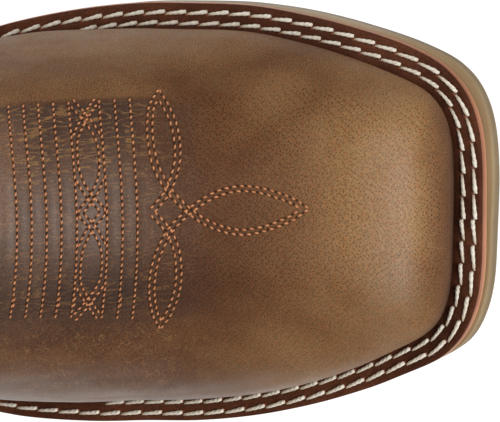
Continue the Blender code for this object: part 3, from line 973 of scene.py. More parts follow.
class Finish:
    """A procedural material, with coordinates in millimetres of the boot's own frame."""

    def __init__(self, name):
        self.material = bpy.data.materials.new(name)
        self.material.use_nodes = True
        self.tree = self.material.node_tree
        self.shader = self.tree.nodes["Principled BSDF"]
        place = self.node("TexCoord").outputs["Object"]
        self.mm = self.vector("SCALE", {0: place, "Scale": 1 / MM})

    def node(self, kind, sockets=None, **settings):
        made = self.tree.nodes.new("ShaderNode" + kind)
        for key, value in settings.items():
            setattr(made, key, value)
        for key, value in (sockets or {}).items():
            plug(self.tree, made.inputs[key], value)
        return made

    def vector(self, operation, sockets):
        return self.node("VectorMath", sockets, operation=operation).outputs[0]

    def math(self, operation, a, b=0.0):
        return self.node("Math", {0: a, 1: b}, operation=operation).outputs[0]

    def split(self):
        return self.node("SeparateXYZ", {0: self.mm}).outputs

    def joined(self, x, y, z=0.0):
        return self.node("CombineXYZ", {0: x, 1: y, 2: z}).outputs[0]

    def stretch(self, scale, vector=None):
        return self.vector("MULTIPLY", {0: vector or self.mm, 1: scale})

    def warp(self, size, amount):
        """Coordinates pushed about by a noise, so that straight patterns wander."""
        push = self.node("TexNoise", {"Vector": self.mm, "Scale": 1 / size}).outputs["Color"]
        return self.vector("ADD", {0: self.mm, 1: self.vector("SCALE", {0: push, "Scale": amount})})

    def hair(self):
        """Coordinates drawn out along the hair, which sweeps forward to both sides of the boot."""
        x, y, z = self.split()
        away = self.math("ABSOLUTE", self.math("SUBTRACT", y, HAIR_MIDDLE))
        sockets = {"Vector": self.joined(x, away, z), "Angle": -HAIR_ANGLE}
        turned = self.node("VectorRotate", sockets, rotation_type="Z_AXIS").outputs[0]
        return self.stretch((HAIR_LONG, 1.0, 1.0), turned)

    def noise(self, size, detail=3.0, rough=0.55, vector=None):
        """Cloudy values around 0.5 with patches of about that size."""
        sockets = {"Vector": vector or self.mm, "Scale": 1 / size, "Detail": detail, "Roughness": rough}
        return self.node("TexNoise", sockets).outputs[0]

    def cells(self, size, vector=None, randomness=1.0, dimensions="3D"):
        """Distance to the points of cells of about that size."""
        sockets = {"Vector": vector or self.mm, "Scale": 1 / size, "Randomness": randomness}
        return self.node("TexVoronoi", sockets, voronoi_dimensions=dimensions).outputs["Distance"]

    def surface_cells(self, size, plan, randomness):
        """Cells laid on the surface: in plan where it faces up, else in the side view or the front view."""
        x, y, z = self.split()
        views = (plan, self.joined(x, z), self.joined(y, z))
        on_plan, on_side, on_front = (self.cells(size, v, randomness, "2D") for v in views)
        upright = self.blend(self.value("faces_front"), on_side, on_front)
        return self.blend(self.value("faces_up"), upright, on_plan)

    def blend(self, fac, a, b):
        return self.node("Mix", {0: fac, 2: a, 3: b}, data_type="FLOAT").outputs[0]

    def value(self, name):
        """A number that the mesh holds under that name."""
        return self.node("Attribute", attribute_name=name).outputs["Fac"]

    def ramp(self, fac, low, high, start=0.0, end=1.0):
        """A value mapped from low..high to start..end, held past both ends, with soft ends."""
        sockets = {"Value": fac, "From Min": low, "From Max": high, "To Min": start, "To Max": end}
        return self.node("MapRange", sockets, interpolation_type="SMOOTHSTEP").outputs[0]

    def mix(self, fac, a, b, blend="MIX"):
        sockets = {0: fac, 6: opaque(a), 7: opaque(b)}
        return self.node("Mix", sockets, data_type="RGBA", blend_type=blend).outputs[2]

    def times(self, colour, factor):
        """A colour multiplied by another colour or by a value."""
        return self.mix(1.0, colour, factor, "MULTIPLY")

    def bump(self, height, strength, depth, before=None):
        sockets = {"Height": height, "Strength": strength, "Distance": depth * MM}
        if before is not None:
            sockets["Normal"] = before
        return self.node("Bump", sockets).outputs[0]

    def done(self, colour, roughness, normal, **sockets):
        """Fills the shader's inputs and returns the material."""
        inputs = {"Base Color": opaque(colour), "Roughness": roughness, "Normal": normal}
        inputs.update({key.replace("_", " "): value for key, value in sockets.items()})
        for key, value in inputs.items():
            plug(self.tree, self.shader.inputs[key], value)
        return self.material


# Colours of the upper's leather, linear, and tints that multiply them
LEATHER_DARK = (0.094, 0.038, 0.016)
LEATHER_GOLD = (0.142, 0.066, 0.029)
PALE_RUST = (0.280, 0.147, 0.060)
PALE_GOLD = (0.315, 0.184, 0.081)
# Waxed leather's colour in painted shade, and lit by painted light where the flexed vamp faces the front
WAXED_SHADED = (0.064, 0.037, 0.028)
WAXED_LIT = (0.160, 0.092, 0.061)
LEATHER_CRACK = (0.280, 0.150, 0.058)
# Tint of the painted shade over the vamp's outer middle
VAMP_SHADE_TINT = (0.76, 0.76, 0.80)
# Tint of the painted shade on the toe's wall
TOE_WALL_SHADE_TINT = (0.34, 0.36, 0.42)
GRAIN_RUST = (1.06, 0.95, 0.86)
GRAIN_GOLD = (0.97, 1.03, 1.04)
PORE_DARK = (0.46, 0.28, 0.22)
PORE_SIZE = 0.80
PORE_SPREAD = 0.6
PANEL_POLISH = 0.15

# Pale cracks: zone, stretch, size and detail of their noise, width of their lines
CRACKS = (
    ("cracked", (0.20, 1.0, 0.0), 1.1, 1.5, 0.055),
    ("veined", (0.75, 0.60, 0.0), 1.7, 3.0, 0.026),
)
CRACK_STRONG = 0.70

# Lie of the hair
HAIR_MIDDLE = 5.0
HAIR_ANGLE = np.radians(50)
HAIR_LONG = 0.6

# Two colours that each plain material mixes, and the painted shade of thread where it sinks into its hole
LINING = ((0.36, 0.23, 0.13), (0.50, 0.35, 0.21))
BOARD = ((0.30, 0.19, 0.10), (0.45, 0.31, 0.18))
WELT_BROWN = ((0.056, 0.018, 0.009), (0.110, 0.037, 0.018))
# Tint of the painted shade on the welt beside the upper
WELT_SHADE_TINT = (0.55, 0.50, 0.46)
EDGE_RUST = ((0.25, 0.088, 0.046), (0.39, 0.15, 0.083))
# Lighter colour at the foot of the welt's cut edge: painted light
EDGE_PAINTED_LIGHT = (0.69, 0.355, 0.205)
KHAKI = ((0.285, 0.206, 0.117), (0.345, 0.256, 0.150))
RUBBER_TOE = (0.67, 0.645, 0.60)
RUBBER_SIDE = (0.92, 1.02, 1.30)
CREAM = ((0.86, 0.80, 0.69), (0.74, 0.65, 0.52))
CREAM_SUNK_SHADE = (0.50, 0.40, 0.28)
COPPER = ((0.67, 0.29, 0.135), (0.52, 0.20, 0.082))
COPPER_SUNK_SHADE = (0.10, 0.034, 0.010)
# Dark brown inside the needle holes: painted shade
HOLE_SHADE_BROWN = ((0.045, 0.016, 0.005), (0.080, 0.032, 0.010))
RUST_MARK = ((0.30, 0.09, 0.045), (0.20, 0.06, 0.03))


def cracks(f, zone, drawn, size, detail, wide):
    """Amount of cracks in a zone: level lines of a drawn-out noise, broken into patches."""
    noise = f.noise(size, detail, 0.5, f.stretch(drawn, f.warp(3.0, 0.5)))
    level = f.math("ABSOLUTE", f.math("SUBTRACT", noise, 0.5))
    patch = f.ramp(f.noise(3.5, 2.0, 0.5, f.stretch((0.5, 1.0, 0.0))), 0.30, 0.56)
    shown = f.math("MULTIPLY", patch, f.value(zone))
    return f.math("MULTIPLY", f.ramp(level, 0.0, wide, CRACK_STRONG, 0.0), shown)


def colour_with_worked_and_lit_zones(f, colour, cloud):
    """Colour of the vamp: pale zones (paler leather, with painted sheen along the outer flank), waxed zones
    in painted shade and painted light, zones of painted shade, and cracks.
    """
    # Pale zones: paler leather, and painted sheen along the outer flank
    colour = f.mix(f.value("pale_and_sheen"), colour, f.mix(cloud, PALE_RUST, PALE_GOLD))
    # Waxed leather: its shaded colour, and its lit colour where painted light falls
    colour = f.mix(f.value("waxed"), colour, f.mix(f.value("waxed_painted_light"), WAXED_SHADED, WAXED_LIT))
    # Painted shade: over the vamp's outer middle, and on the toe's wall where it turns down
    for zone, tint in (("painted_shade", VAMP_SHADE_TINT), ("low", TOE_WALL_SHADE_TINT)):
        colour = f.mix(f.value(zone), colour, f.times(colour, tint))
    for kind in CRACKS:
        colour = f.mix(cracks(f, *kind), colour, LEATHER_CRACK)
    return colour


def grained(f, colour, grain, hair):
    """A colour with fine grain, specks and small patches of rust and gold."""
    colour = f.times(colour, f.ramp(grain, 0.3, 0.7, 0.74, 1.26))
    colour = f.times(colour, f.ramp(f.noise(0.22, 1.0, 0.5), 0.3, 0.7, 0.79, 1.21))
    patch = f.ramp(f.noise(0.8, 2.0, 0.5, hair), 0.35, 0.65)
    return f.times(colour, f.mix(patch, GRAIN_RUST, GRAIN_GOLD))


def leather(name, zoned, cloud_size):
    """Oiled leather: cloudy brown along the hair with fine pores, worked in zones with painted light and
    shade, or rubbed all over.
    """
    f = Finish(name)
    hair = f.hair()
    cloud = f.ramp(f.noise(cloud_size, 4.0, 0.55, hair), 0.20, 0.80)
    colour = f.mix(cloud, LEATHER_DARK, LEATHER_GOLD)
    shown = f.ramp(f.noise(14.0, 2.0), 0.38, 0.62, 0.75, 1.0)
    if zoned:
        colour = colour_with_worked_and_lit_zones(f, colour, cloud)
        shown = f.math("MULTIPLY", shown, f.ramp(f.value("waxed"), 0.1, 0.9, 1.0, 0.25))
        shown = f.math("MULTIPLY", shown, f.ramp(f.value("fine"), 0.0, 1.0, 1.0, 0.5))
        polish = f.math("MULTIPLY", f.value("polish"), f.ramp(f.noise(6.0, 3.0), 0.3, 0.7, 0.7, 1.0))
    else:
        colour = f.mix(f.ramp(f.noise(45.0, 3.0), 0.45, 0.75, 0.0, 0.35), colour, PALE_RUST)
        polish = PANEL_POLISH
    grain = f.noise(0.32, 2.0, 0.6, hair)
    colour = grained(f, colour, grain, hair)
    pores = f.surface_cells(PORE_SIZE, hair, PORE_SPREAD)
    pits = f.math("MULTIPLY", f.ramp(pores, 0.10, 0.25, 1.0, 0.0), shown)
    colour = f.mix(pits, colour, f.times(colour, PORE_DARK))
    normal = f.bump(grain, 0.3, 0.06)
    normal = f.bump(f.ramp(pores, 0.05, 0.4), 0.4, 0.08, normal)
    normal = f.bump(f.noise(5.0, 3.0), 0.2, 0.2, normal)
    rough = f.ramp(f.noise(8.0, 4.0), 0.3, 0.7, 0.46, 0.60)
    return f.done(colour, rough, normal, Specular_IOR_Level=0.06, Coat_Weight=polish, Coat_Roughness=0.44)


def plain_leather(name, dark, light, grain=1.2, shine=0.18, shaded=False, foot=None):
    """Plain leather with cloudy colour and a fine pebble."""
    f = Finish(name)
    colour = f.mix(f.ramp(f.noise(18.0, 5.0, 0.6), 0.3, 0.7), dark, light)
    colour = f.mix(f.ramp(f.noise(1.4, 3.0), 0.45, 0.8, 0.0, 0.35), colour, dark)
    if shaded:
        # Painted shade on the welt beside the upper
        colour = f.mix(f.value("deep"), colour, f.times(colour, WELT_SHADE_TINT))
        colour = f.times(colour, f.ramp(f.noise(0.4, 2.0), 0.3, 0.7, 0.7, 1.3))
    # Painted light towards the foot of the welt's cut edge
    if foot is not None:
        colour = f.mix(f.value("foot"), colour, foot)
    normal = f.bump(f.cells(grain), 0.3, 0.08)
    normal = f.bump(f.noise(0.5, 3.0), 0.25, 0.05, normal)
    rough = f.ramp(f.noise(6.0, 3.0), 0.3, 0.7, 0.45, 0.6)
    return f.done(colour, rough, normal, Specular_IOR_Level=shine)


def thread(name, colour, shade, twist, sunk_shade=None, sinks=None):
    """Waxed thread with a fine twist, with painted shade where its stitches sink into their holes."""
    f = Finish(name)
    tint = f.mix(f.ramp(f.noise(1.1, 2.0), 0.35, 0.7), colour, shade)
    if sunk_shade is not None:
        tint = f.mix(f.ramp(f.value("ends"), *sinks), tint, sunk_shade)
    normal = f.bump(f.noise(twist, 2.0), 0.4, 0.08)
    return f.done(tint, 0.6, normal, Specular_IOR_Level=0.25)


def rubber(name, dark, light):
    """Matt khaki rubber with a fine moulded tooth, warm at the toe and greyer along the sides, with painted
    light towards the top of its sides.
    """
    f = Finish(name)
    colour = f.mix(f.ramp(f.noise(30.0, 4.0), 0.3, 0.7), dark, light)
    colour = f.mix(f.ramp(f.noise(0.7, 2.0), 0.5, 0.8, 0.0, 0.25), colour, dark)
    colour = f.times(colour, f.mix(f.value("aside"), RUBBER_TOE, RUBBER_SIDE))
    # Painted light towards the top of the sole's sides, under the welt
    colour = f.times(colour, f.ramp(f.value("high"), 0.5, 1.0, 1.0, 1.5))
    normal = f.bump(f.noise(0.6, 3.0), 0.25, 0.05)
    return f.done(colour, f.ramp(f.noise(5.0, 3.0), 0.3, 0.7, 0.62, 0.78), normal, Specular_IOR_Level=0.15)


def make_finishes():
    """Every material of the boot by a short name."""
    return {
        "upper": leather("upper_leather", True, 11.0),
        "panel": leather("panel_leather", False, 26.0),
        "lining": plain_leather("lining_leather", *LINING),
        "insole": plain_leather("insole_leather", *BOARD),
        "welt": plain_leather("welt_leather", *WELT_BROWN, grain=0.9, shine=0.04, shaded=True),
        "welt_edge": plain_leather("welt_cut_edge", *EDGE_RUST, grain=0.8, foot=EDGE_PAINTED_LIGHT),
        "rubber": rubber("khaki_rubber", *KHAKI),
        "cord": thread("cream_cord", *CREAM, 0.35, CREAM_SUNK_SHADE, (0.5, 1.0)),
        "copper": thread("copper_thread", *COPPER, 0.3, COPPER_SUNK_SHADE, (0.15, 0.92)),
        # Needle holes: painted shade
        "hole": thread("needle_hole", *HOLE_SHADE_BROWN, 0.5),
        "rust": thread("rust_mark", *RUST_MARK, 0.5),
    }


# Pieces


UPPER_AT = crowded(UPPER_SIDE, UPPER_CROWD)
SHAFT_AT = middles(SHAFT_SIDE)
UPPER_STACK = skin_stack(UPPER_AT)
SHAFT_STACK = skin_stack(SHAFT_AT)
FINISH = make_finishes()

# Soft-edged boxes on the upper in plan: their limits, the width of each soft edge, the amount inside
ZONE_COLUMNS = (
    "back", "front", "outer", "inner", "soft_back", "soft_front", "soft_outer", "soft_inner", "amount",
)
ZONES = {
    "waxed": (
        (0, 66, -20, 36.8, 18, 18, 20, 2, 0.95),
        (58, 76, -20, 36, 14, 14, 10, 6, 0.55),
    ),
    # Paler leather at the toe and along the inner flank; the last three rows are a painted sheen along the
    # outer flank
    "pale_and_sheen": (
        (106, 134.5, -16, 38, 40, 10, 40, 26, 0.95),
        (104, 134.5, -70, 46, 42, 10, 10, 10, 0.52),
        (10, 94, 44, 70, 60, 30, 10, 10, 0.54),
        (15, 66, 37.4, 46, 10, 16, 1.2, 8, 0.30),
        (86, 112, 30, 44, 24, 30, 16, 14, 0.42),
        (86, 122, -60, -24, 36, 20, 5, 16, 0.50),
        (-20, 120, -70, -44, 20, 30, 5, 14, 0.20),
        (-20, 40, -60, -27, 20, 24, 10, 8, 0.12),
    ),
    # Where the waxed leather takes its lit colour: painted light
    "waxed_painted_light": (
        (-10, 64, -4, 27, 10, 16, 18, 16, 0.40),
        (-10, 36, 5, 34, 10, 13, 12, 12, 1),
    ),
    # Painted shade over the outer half of the vamp's middle
    "painted_shade": (
        (40, 88, -20, -2, 20, 24, 14, 14, 1),
    ),
    "cracked": (
        (0, 66, 17, 36.6, 18, 14, 16, 1.5, 1),
        (0, 74, -17, 30, 18, 14, 12, 10, 0.45),
        (8, 32, 12, 48, 10, 10, 20, 12, 0.70),
    ),
    "veined": (
        (0, 74, -44, -20, 18, 26, 10, 8, 0.75),
    ),
    "fine": (
        (60, 400, -200, -14, 30, 10, 10, 24, 1),
    ),
}
# Where the toe's wall gets painted shade as it turns down towards the welt
TOE_WALL_SHADE_ZONES = (
    (130, 400, -200, 24, 14, 10, 10, 16, 1),
)
GLOSS_ZONES = (
    (-200, 400, -200, 200, 10, 10, 10, 10, 0.03),
    (10, 62, -4, 27, 10, 26, 22, 20, 0.55),
    (10, 36, -2, 27, 10, 16, 20, 20, 0.95),
    (118, 130, -32, 42, 16, 8, 22, 20, 0.70),
)
FLANK_GLOSS_ZONES = (
    (-200, 134, -70, -39, 10, 20, 8, 24, 0.95),
    (-200, 84, 47, 70, 10, 60, 6, 10, 0.22),
)
POLISH_FROM = 0.50
POLISH_OVER = 0.25
STEEP_OVER = 0.6


def zones(points, table):
    """Soft-edged boxes laid on the leather in plan."""
    total = np.zeros(len(points))
    x, y = points[:, 0], points[:, 1]
    for row in table:
        zone = dict(zip(ZONE_COLUMNS, row))
        part = soft_step(x, zone["back"], zone["soft_back"])
        part = part * soft_step(-x, -zone["front"], zone["soft_front"])
        part = part * soft_step(y, zone["outer"], zone["soft_outer"])
        part = part * soft_step(-y, -zone["inner"], zone["soft_inner"])
        total = np.maximum(total, zone["amount"] * part)
    return total


def upper_rises():
    """Rows of the upper from the feather line to the seam, closest together across the stitched vamp."""
    table = columns(UPPER_ROWS, UPPER_ROW_COLUMNS)
    total = int(table["rows"][-1])
    return np.interp(np.arange(total + 1), table["rows"], table["rise"])


def set_zones(piece, points, facing):
    """Values of the upper's zones on its vertices, given how far each one faces up."""
    for name, table in ZONES.items():
        set_value(piece, name, zones(points, table))
    polish = ease((facing - POLISH_FROM) / POLISH_OVER) * zones(points, GLOSS_ZONES)
    set_value(piece, "polish", polish + zones(points, FLANK_GLOSS_ZONES))
    # low: painted shade on the toe's wall, stronger the less it faces up
    set_value(piece, "low", (1 - ease(facing / STEEP_OVER)) * zones(points, TOE_WALL_SHADE_ZONES))


def add_wall(name, outer, inner, finish, slot, node):
    """A wall closed round the boot, with its lining."""
    loops = np.concatenate([outer, inner[::-1]])
    rows, count = loops.shape[:2]
    lining = np.repeat(np.arange(rows) >= len(outer), count).astype(int)
    materials = [FINISH[finish], FINISH["lining"]]
    return add_piece(name, loops, grid_faces(rows, count, True, True), materials, slot, lining, node)


def upper_skin(seam):
    """Outside of the upper with its relief, and the normals of its plain shape."""
    plain = skin(UPPER_STACK, upper_rises()[:, None] * seam[None])
    normal = outward(plain)
    tree = tree_of(plain)
    lines = [drop(tree, line)[0] for line, _ in VAMP_LINES]
    flat = plain.reshape(-1, 3)
    relief = row_bands(flat) + groove(stitch_distance(flat, lines))
    relief = relief + creases(flat) * seam_fade(from_top(plain)).ravel()
    return rounded(plain + normal * relief.reshape(plain.shape[:2])[..., None], EDGE_ROUND), normal


def add_upper():
    """Lasted upper: stitched vamp and quarters, with its lining. Returns its outside."""
    seam = seam_levels(UPPER_STACK, UPPER_AT)
    outer, normal = upper_skin(seam)
    plain = skin(UPPER_STACK, np.linspace(0, 1, LINING_ROWS)[:, None] * seam[None])
    lining_normal = outward(plain)
    inner = plain - lining_normal * UPPER_WALL
    inner[0, :, 2] = plain[0, :, 2]
    piece = add_wall("vamp_and_quarters", outer, inner, "upper", "upper_leather", "upper")
    set_facing(piece, np.concatenate([normal, lining_normal[::-1]]))
    points = np.concatenate([outer, inner[::-1]]).reshape(-1, 3)
    facing = np.concatenate([normal[..., 2], np.zeros(inner.shape[:2])]).ravel()
    set_zones(piece, points, facing)
    return outer


def add_shaft():
    """Leg of the boot, set back a little from the upper, with its lining. Returns its two surfaces."""
    seam = seam_levels(SHAFT_STACK, SHAFT_AT)
    rise = np.linspace(0, 1, SHAFT_ROWS)[:, None]
    start = seam + SHAFT_START
    grid = skin(SHAFT_STACK, start[None] * (1 - rise) + rise)
    normal = outward(grid)
    soft = creases(grid.reshape(-1, 3)).reshape(grid.shape[:2]) * seam_fade(from_top(grid[::-1])[::-1])
    outer = grid + normal * (soft - SHAFT_STEP)[..., None]
    inner = outer - normal * SHAFT_WALL
    inner[-1, :, 2] = outer[-1, :, 2]
    piece = add_wall("shaft_leather", outer, inner, "panel", "shaft_leather", "shaft")
    set_facing(piece, np.concatenate([normal, normal[::-1]]))
    return outer, inner


def add_counter():
    """Heel counter, an overlay that stands proud of the upper. Returns its outside."""
    table = columns(COUNTER_TOP, ROUND_COLUMNS)
    way = np.concatenate([SHAFT_AT, SHAFT_AT[::-1]])
    pick = np.nonzero(way >= COUNTER_START)[0]
    part = SHAFT_STACK[:, pick]
    top = levels_at(part, smooth(way[pick], table["round"], table["z"]))
    foot = levels_at(part, part[0, :, 2] + COUNTER_FOOT)
    rise = (np.linspace(0, 1, COUNTER_ROWS) ** COUNTER_CROWD)[:, None]
    grid = skin(part, foot[None] * rise + top[None] * (1 - rise))[::-1]
    normal = outward(grid, closed=False)
    near = grid + normal * COUNTER_LIES
    far = rounded(grid + normal * (COUNTER_GAP + COUNTER_THICK), EDGE_ROUND, closed=False)
    near[0, :, 2] = far[0, :, 2] = np.maximum(near[0, :, 2], far[0, :, 2])
    faces = slab_faces(*far.shape[:2])
    vertices = np.concatenate([far, near])
    piece = add_piece(
        "counter_leather", vertices, faces, [FINISH["panel"]], "upper_leather", node="heel_counter"
    )
    set_facing(piece, np.concatenate([normal, normal]))
    return far


# Seams, binding and piping
EDGE_ROWS = (1.9, 4.3)
EDGE_PITCH = 2.5
EDGE_THREAD = 0.27
EDGE_GAP = 0.3
EDGE_ARCH = 0.2
EDGE_SLANT = 0.25
EDGE_HOLE = (0.42, 0.28)
BIND_WIDE = 6.0
BIND_THICK = 0.34
BIND_STITCH = 4.4
BIND_TURN = 9
BIND_ROWS = 8
BIND_EASE = 1.5
PIPE_RADIUS = 1.15
PIPE_SIDES = 10
PIPE_STAND = 0.3
PIPE_BELOW_COLLAR = 4.0
UP = np.array((0.0, 0.0, 1.0))


def edge_stitches(path, slant=0.0):
    """One row of the stitches that hold an edge down."""
    return stitch_row(*path, EDGE_PITCH, EDGE_THREAD, EDGE_GAP, EDGE_ARCH, slant)


def add_edge_stitches(upper, counter, shaft):
    """Double rows along the top edges of vamp and counter, and one row along the collar binding."""
    paths = []
    for depth in EDGE_ROWS:
        paths.append(closed_path(*below_edge(upper, depth)))
        paths.append(below_edge(counter, depth, closed=False))
    points, normals = below_edge(shaft, BIND_STITCH)
    paths.append(closed_path(points + normals * BIND_THICK, normals))
    threads = [edge_stitches(path, EDGE_SLANT) for path in paths]
    holes = [needle_holes(*path, EDGE_PITCH, *EDGE_HOLE) for path in paths]
    add_threads("edge_stitches", threads, "upper_leather")
    add_piece("edge_needle_holes", *join_parts(holes), [FINISH["hole"]], "upper_leather", sharp=None)


def add_binding(outer, inner):
    """Leather binding folded over the collar."""
    depths = np.linspace(BIND_WIDE, 0.0, BIND_ROWS)
    outside = [below_edge(outer, d) for d in depths]
    inside = [below_edge(inner, d) for d in depths]
    edge_lift = np.minimum(1.0, np.arange(BIND_ROWS) / BIND_EASE)
    rows = [p + n * BIND_THICK * e for (p, n), e in zip(outside, edge_lift)]
    middle = (outside[-1][0] + inside[-1][0]) / 2
    reach = (outside[-1][0] - inside[-1][0]) / 2
    reach = reach + unit(reach) * BIND_THICK
    stand = np.linalg.norm(reach, axis=1, keepdims=True) * UP
    for turn in np.linspace(0, np.pi, BIND_TURN)[1:-1]:
        rows.append(middle + reach * np.cos(turn) + stand * np.sin(turn))
    rows += [p - n * BIND_THICK * e for (p, n), e in zip(inside[::-1], edge_lift[::-1])]
    faces = grid_faces(len(rows), len(middle), True, True)
    add_piece("collar_binding", np.array(rows), faces, [FINISH["panel"]], "shaft_leather")


def add_piping(shaft):
    """Side seam of the shaft: a leather-covered cord straight down from the collar on each side."""
    values = np.concatenate([shaft, outward(shaft)], -1)
    half = shaft.shape[1] // 2
    shown = from_top(shaft).mean(1) > PIPE_BELOW_COLLAR
    parts = []
    for side in (values[:, :half], values[:, :half - 1:-1]):
        x = side[-1, np.argmax(np.abs(side[-1, :, 1])), 0]
        line = np.array([sample(-x, -row[:, 0], row) for row in side[shown]])
        up = unit(line[:, 3:])
        centres = line[:, :3] + up * PIPE_RADIUS * PIPE_STAND
        across = unit(np.cross(unit(np.gradient(centres, axis=0)), up))
        parts.append(tubes(centres[None], up[None], across[None], PIPE_RADIUS, PIPE_SIDES))
    add_piece("side_seam_piping", *join_parts(parts), [FINISH["panel"]], "shaft_leather", sharp=None)


# Pull straps
STRAP_ACROSS = 15
STRAP_BEND_STEPS = 30
STRAP_LEG_STEPS = 12
STRAP_ROUND = 1.0
STRAP_STITCH_IN = 2.4
STRAP_THIN = 0.97
STRAP_LINE_POINTS = 40


def strap_edge(v, inner):
    """Points across the width of a pull strap, on the ring at level v."""
    line = ring(v, middles(FINE))
    line = line[:FINE] if inner else line[FINE:]
    reach = np.cumsum(np.linalg.norm(np.gradient(line, axis=0), axis=1))
    reach -= reach[np.argmax(np.abs(line[:, 1]))]
    return sample(strap_offsets(), reach, line)


def strap_offsets():
    """Places across a strap, closest together at its rounded edges."""
    turn = np.linspace(-np.pi / 2, np.pi / 2, STRAP_ACROSS)
    return STRAP_WIDE / 2 * np.sin(turn)


def strap_face(rim, foot, stand, side):
    """One face of a pull strap: up the outside, over the collar in a loop, and down the inside."""
    wall_middle = -(SHAFT_STEP + SHAFT_WALL / 2)
    legs = np.linspace(0, 1, STRAP_LEG_STEPS, endpoint=False)
    rows = [foot + (rim - foot) * t + side * (wall_middle + stand)[:, None] for t in legs]
    for turn in np.linspace(0, np.pi, STRAP_BEND_STEPS + 1):
        out = stand * np.cos(turn) + STRAP_SWELL * np.sin(2 * turn)
        up = (STRAP_LOOP + stand) * np.sin(turn)
        rows.append(rim + side * (wall_middle + out)[:, None] + UP * up[:, None])
    rows += [foot + (rim - foot) * t + side * (wall_middle - stand)[:, None] for t in legs[::-1]]
    return np.array(rows)


def add_strap(name, node, inner):
    """A pull strap with rounded edges. Returns the stitch paths of its outer leg."""
    rim = strap_edge(1.0, inner)
    foot = strap_edge(1.0 - STRAP_DOWN / FRONT_RUN.sum(), inner)
    side = np.array([0.0, 1.0 if inner else -1.0, 0.0])
    edge = np.maximum(np.abs(strap_offsets()) - (STRAP_WIDE / 2 - STRAP_ROUND), 0.0) / STRAP_ROUND
    half = STRAP_THICK / 2 * np.sqrt(1 - STRAP_THIN * edge**2)
    middle = SHAFT_WALL / 2 + STRAP_CLEAR + STRAP_THICK / 2
    far = strap_face(rim, foot, middle + half, side)
    near = strap_face(rim, foot, middle - half, side)
    if not inner:
        far, near = far[:, ::-1], near[:, ::-1]
    faces = slab_faces(*far.shape[:2])[:, ::-1]
    add_piece(name, np.concatenate([far, near]), faces, [FINISH["panel"]], "shaft_leather", node=node)
    return strap_stitch_paths(far[:STRAP_LEG_STEPS + 1], side)


def strap_stitch_paths(leg, side):
    """A stitched line round the foot of a strap's outer leg: up one edge, across and down the other."""
    wide = np.linspace(-1, 1, STRAP_LINE_POINTS) * (STRAP_WIDE / 2 - STRAP_STITCH_IN)
    place = np.sort(strap_offsets())
    lines = []
    for offset in (wide[0], wide[-1]):
        lines.append(np.array([sample(offset, place, row) for row in leg]))
    low = leg[0] + (leg[-1] - leg[0]) * STRAP_STITCH_IN / STRAP_DOWN
    lines.append(sample(wide, place, low))
    return [(line, np.broadcast_to(side, line.shape).copy()) for line in lines]


def add_straps():
    """Both pull straps with their stitches."""
    paths = add_strap("inner_pull_strap", "pull_strap_inner", True)
    paths += add_strap("outer_pull_strap", "pull_strap_outer", False)
    add_threads("strap_stitches", [edge_stitches(path) for path in paths], "shaft_leather")


# Welt: its section from the foot of the cut edge over the top to its hidden inner side, and its stitch rows
WELT_FOOT = 0.1
WELT_EDGE_STEPS = (0.15, 0.3, 0.5, 0.75)
WELT_ROUND = 0.5
WELT_ROUND_STEPS = 5
WELT_TOP_INSETS = (*np.arange(0.8, 6.6, 0.24), 7.2, 8.0, 9.0)
WELT_ROOM = 0.3
WELT_CROWDING = 0.01
EDGE_PALE = 2.6
WELT_CROWN = 0.15
ROW_OUTER = (
    (-20, 2.75, 2.5),
    (30, 2.75, 2.48),
    (60, 2.65, 2.14),
    (90, 2.5, 2),
    (112, 2.5, 2.25),
    (130, 2.65, 2.5),
    (142, 2.45, 2.25),
    (151, 2.15, 2.1),
)
ROW_INNER = (
    (-20, 5.45, 5.3),
    (60, 5.45, 5.25),
    (90, 5.5, 5.2),
    (112, 5.5, 5.3),
    (130, 5.65, 5.5),
    (151, 5.3, 5.25),
)
ROW_INNER_FEATHER = 6.3
ROW_INNER_START = {True: 39.5, False: 44.5}
WELT_SHADE_FROM = 0.35
WELT_SHADE_TO = 0.85
CHANNEL_DEEP = 0.25
CHANNEL_WIDE = 0.7


def row_inset(rows):
    """Inset of a stitch row from the welt edge at a place in plan."""
    return lambda x, y: side_value(rows, x, y)


def welt_section():
    """Insets and heights round the welt's section."""
    turn = np.linspace(0, np.pi / 2, WELT_ROUND_STEPS)
    low, high = OUTSOLE_THICK, WELT_TOP
    section = [(WELT_FOOT, low), (0.0, low + WELT_FOOT)]
    section += [(0.0, low + WELT_THICK * t) for t in WELT_EDGE_STEPS]
    section += [(WELT_ROUND * (1 - np.cos(a)), high - WELT_ROUND * (1 - np.sin(a))) for a in turn]
    return section


def welt_top(cover):
    """Loops across the welt's top face, out to the line where the upper covers it, with the painted shade on
    them.
    """
    edge = outline_loop(0.0)
    channels = [row_inset(rows)(edge[:, 0], edge[:, 1]) for rows in (ROW_OUTER, ROW_INNER)]
    room = np.linalg.norm(cover - edge, axis=1)
    loops, shade = [], []
    for inset in WELT_TOP_INSETS:
        reach = np.minimum(inset, room - WELT_ROOM + inset * WELT_CROWDING)
        over = inset > room - WELT_ROOM
        covered = edge + (cover - edge) * (reach / room)[:, None]
        plan = np.where(over[:, None], covered, outline_loop(inset))
        dip = sum(CHANNEL_DEEP * np.exp(-(((inset - row) / CHANNEL_WIDE) ** 2)) for row in channels)
        loops.append(raised(plan, WELT_TOP + WELT_CROWN - dip))
        shade.append(ease((reach / room - WELT_SHADE_FROM) / (WELT_SHADE_TO - WELT_SHADE_FROM)))
    return loops, shade


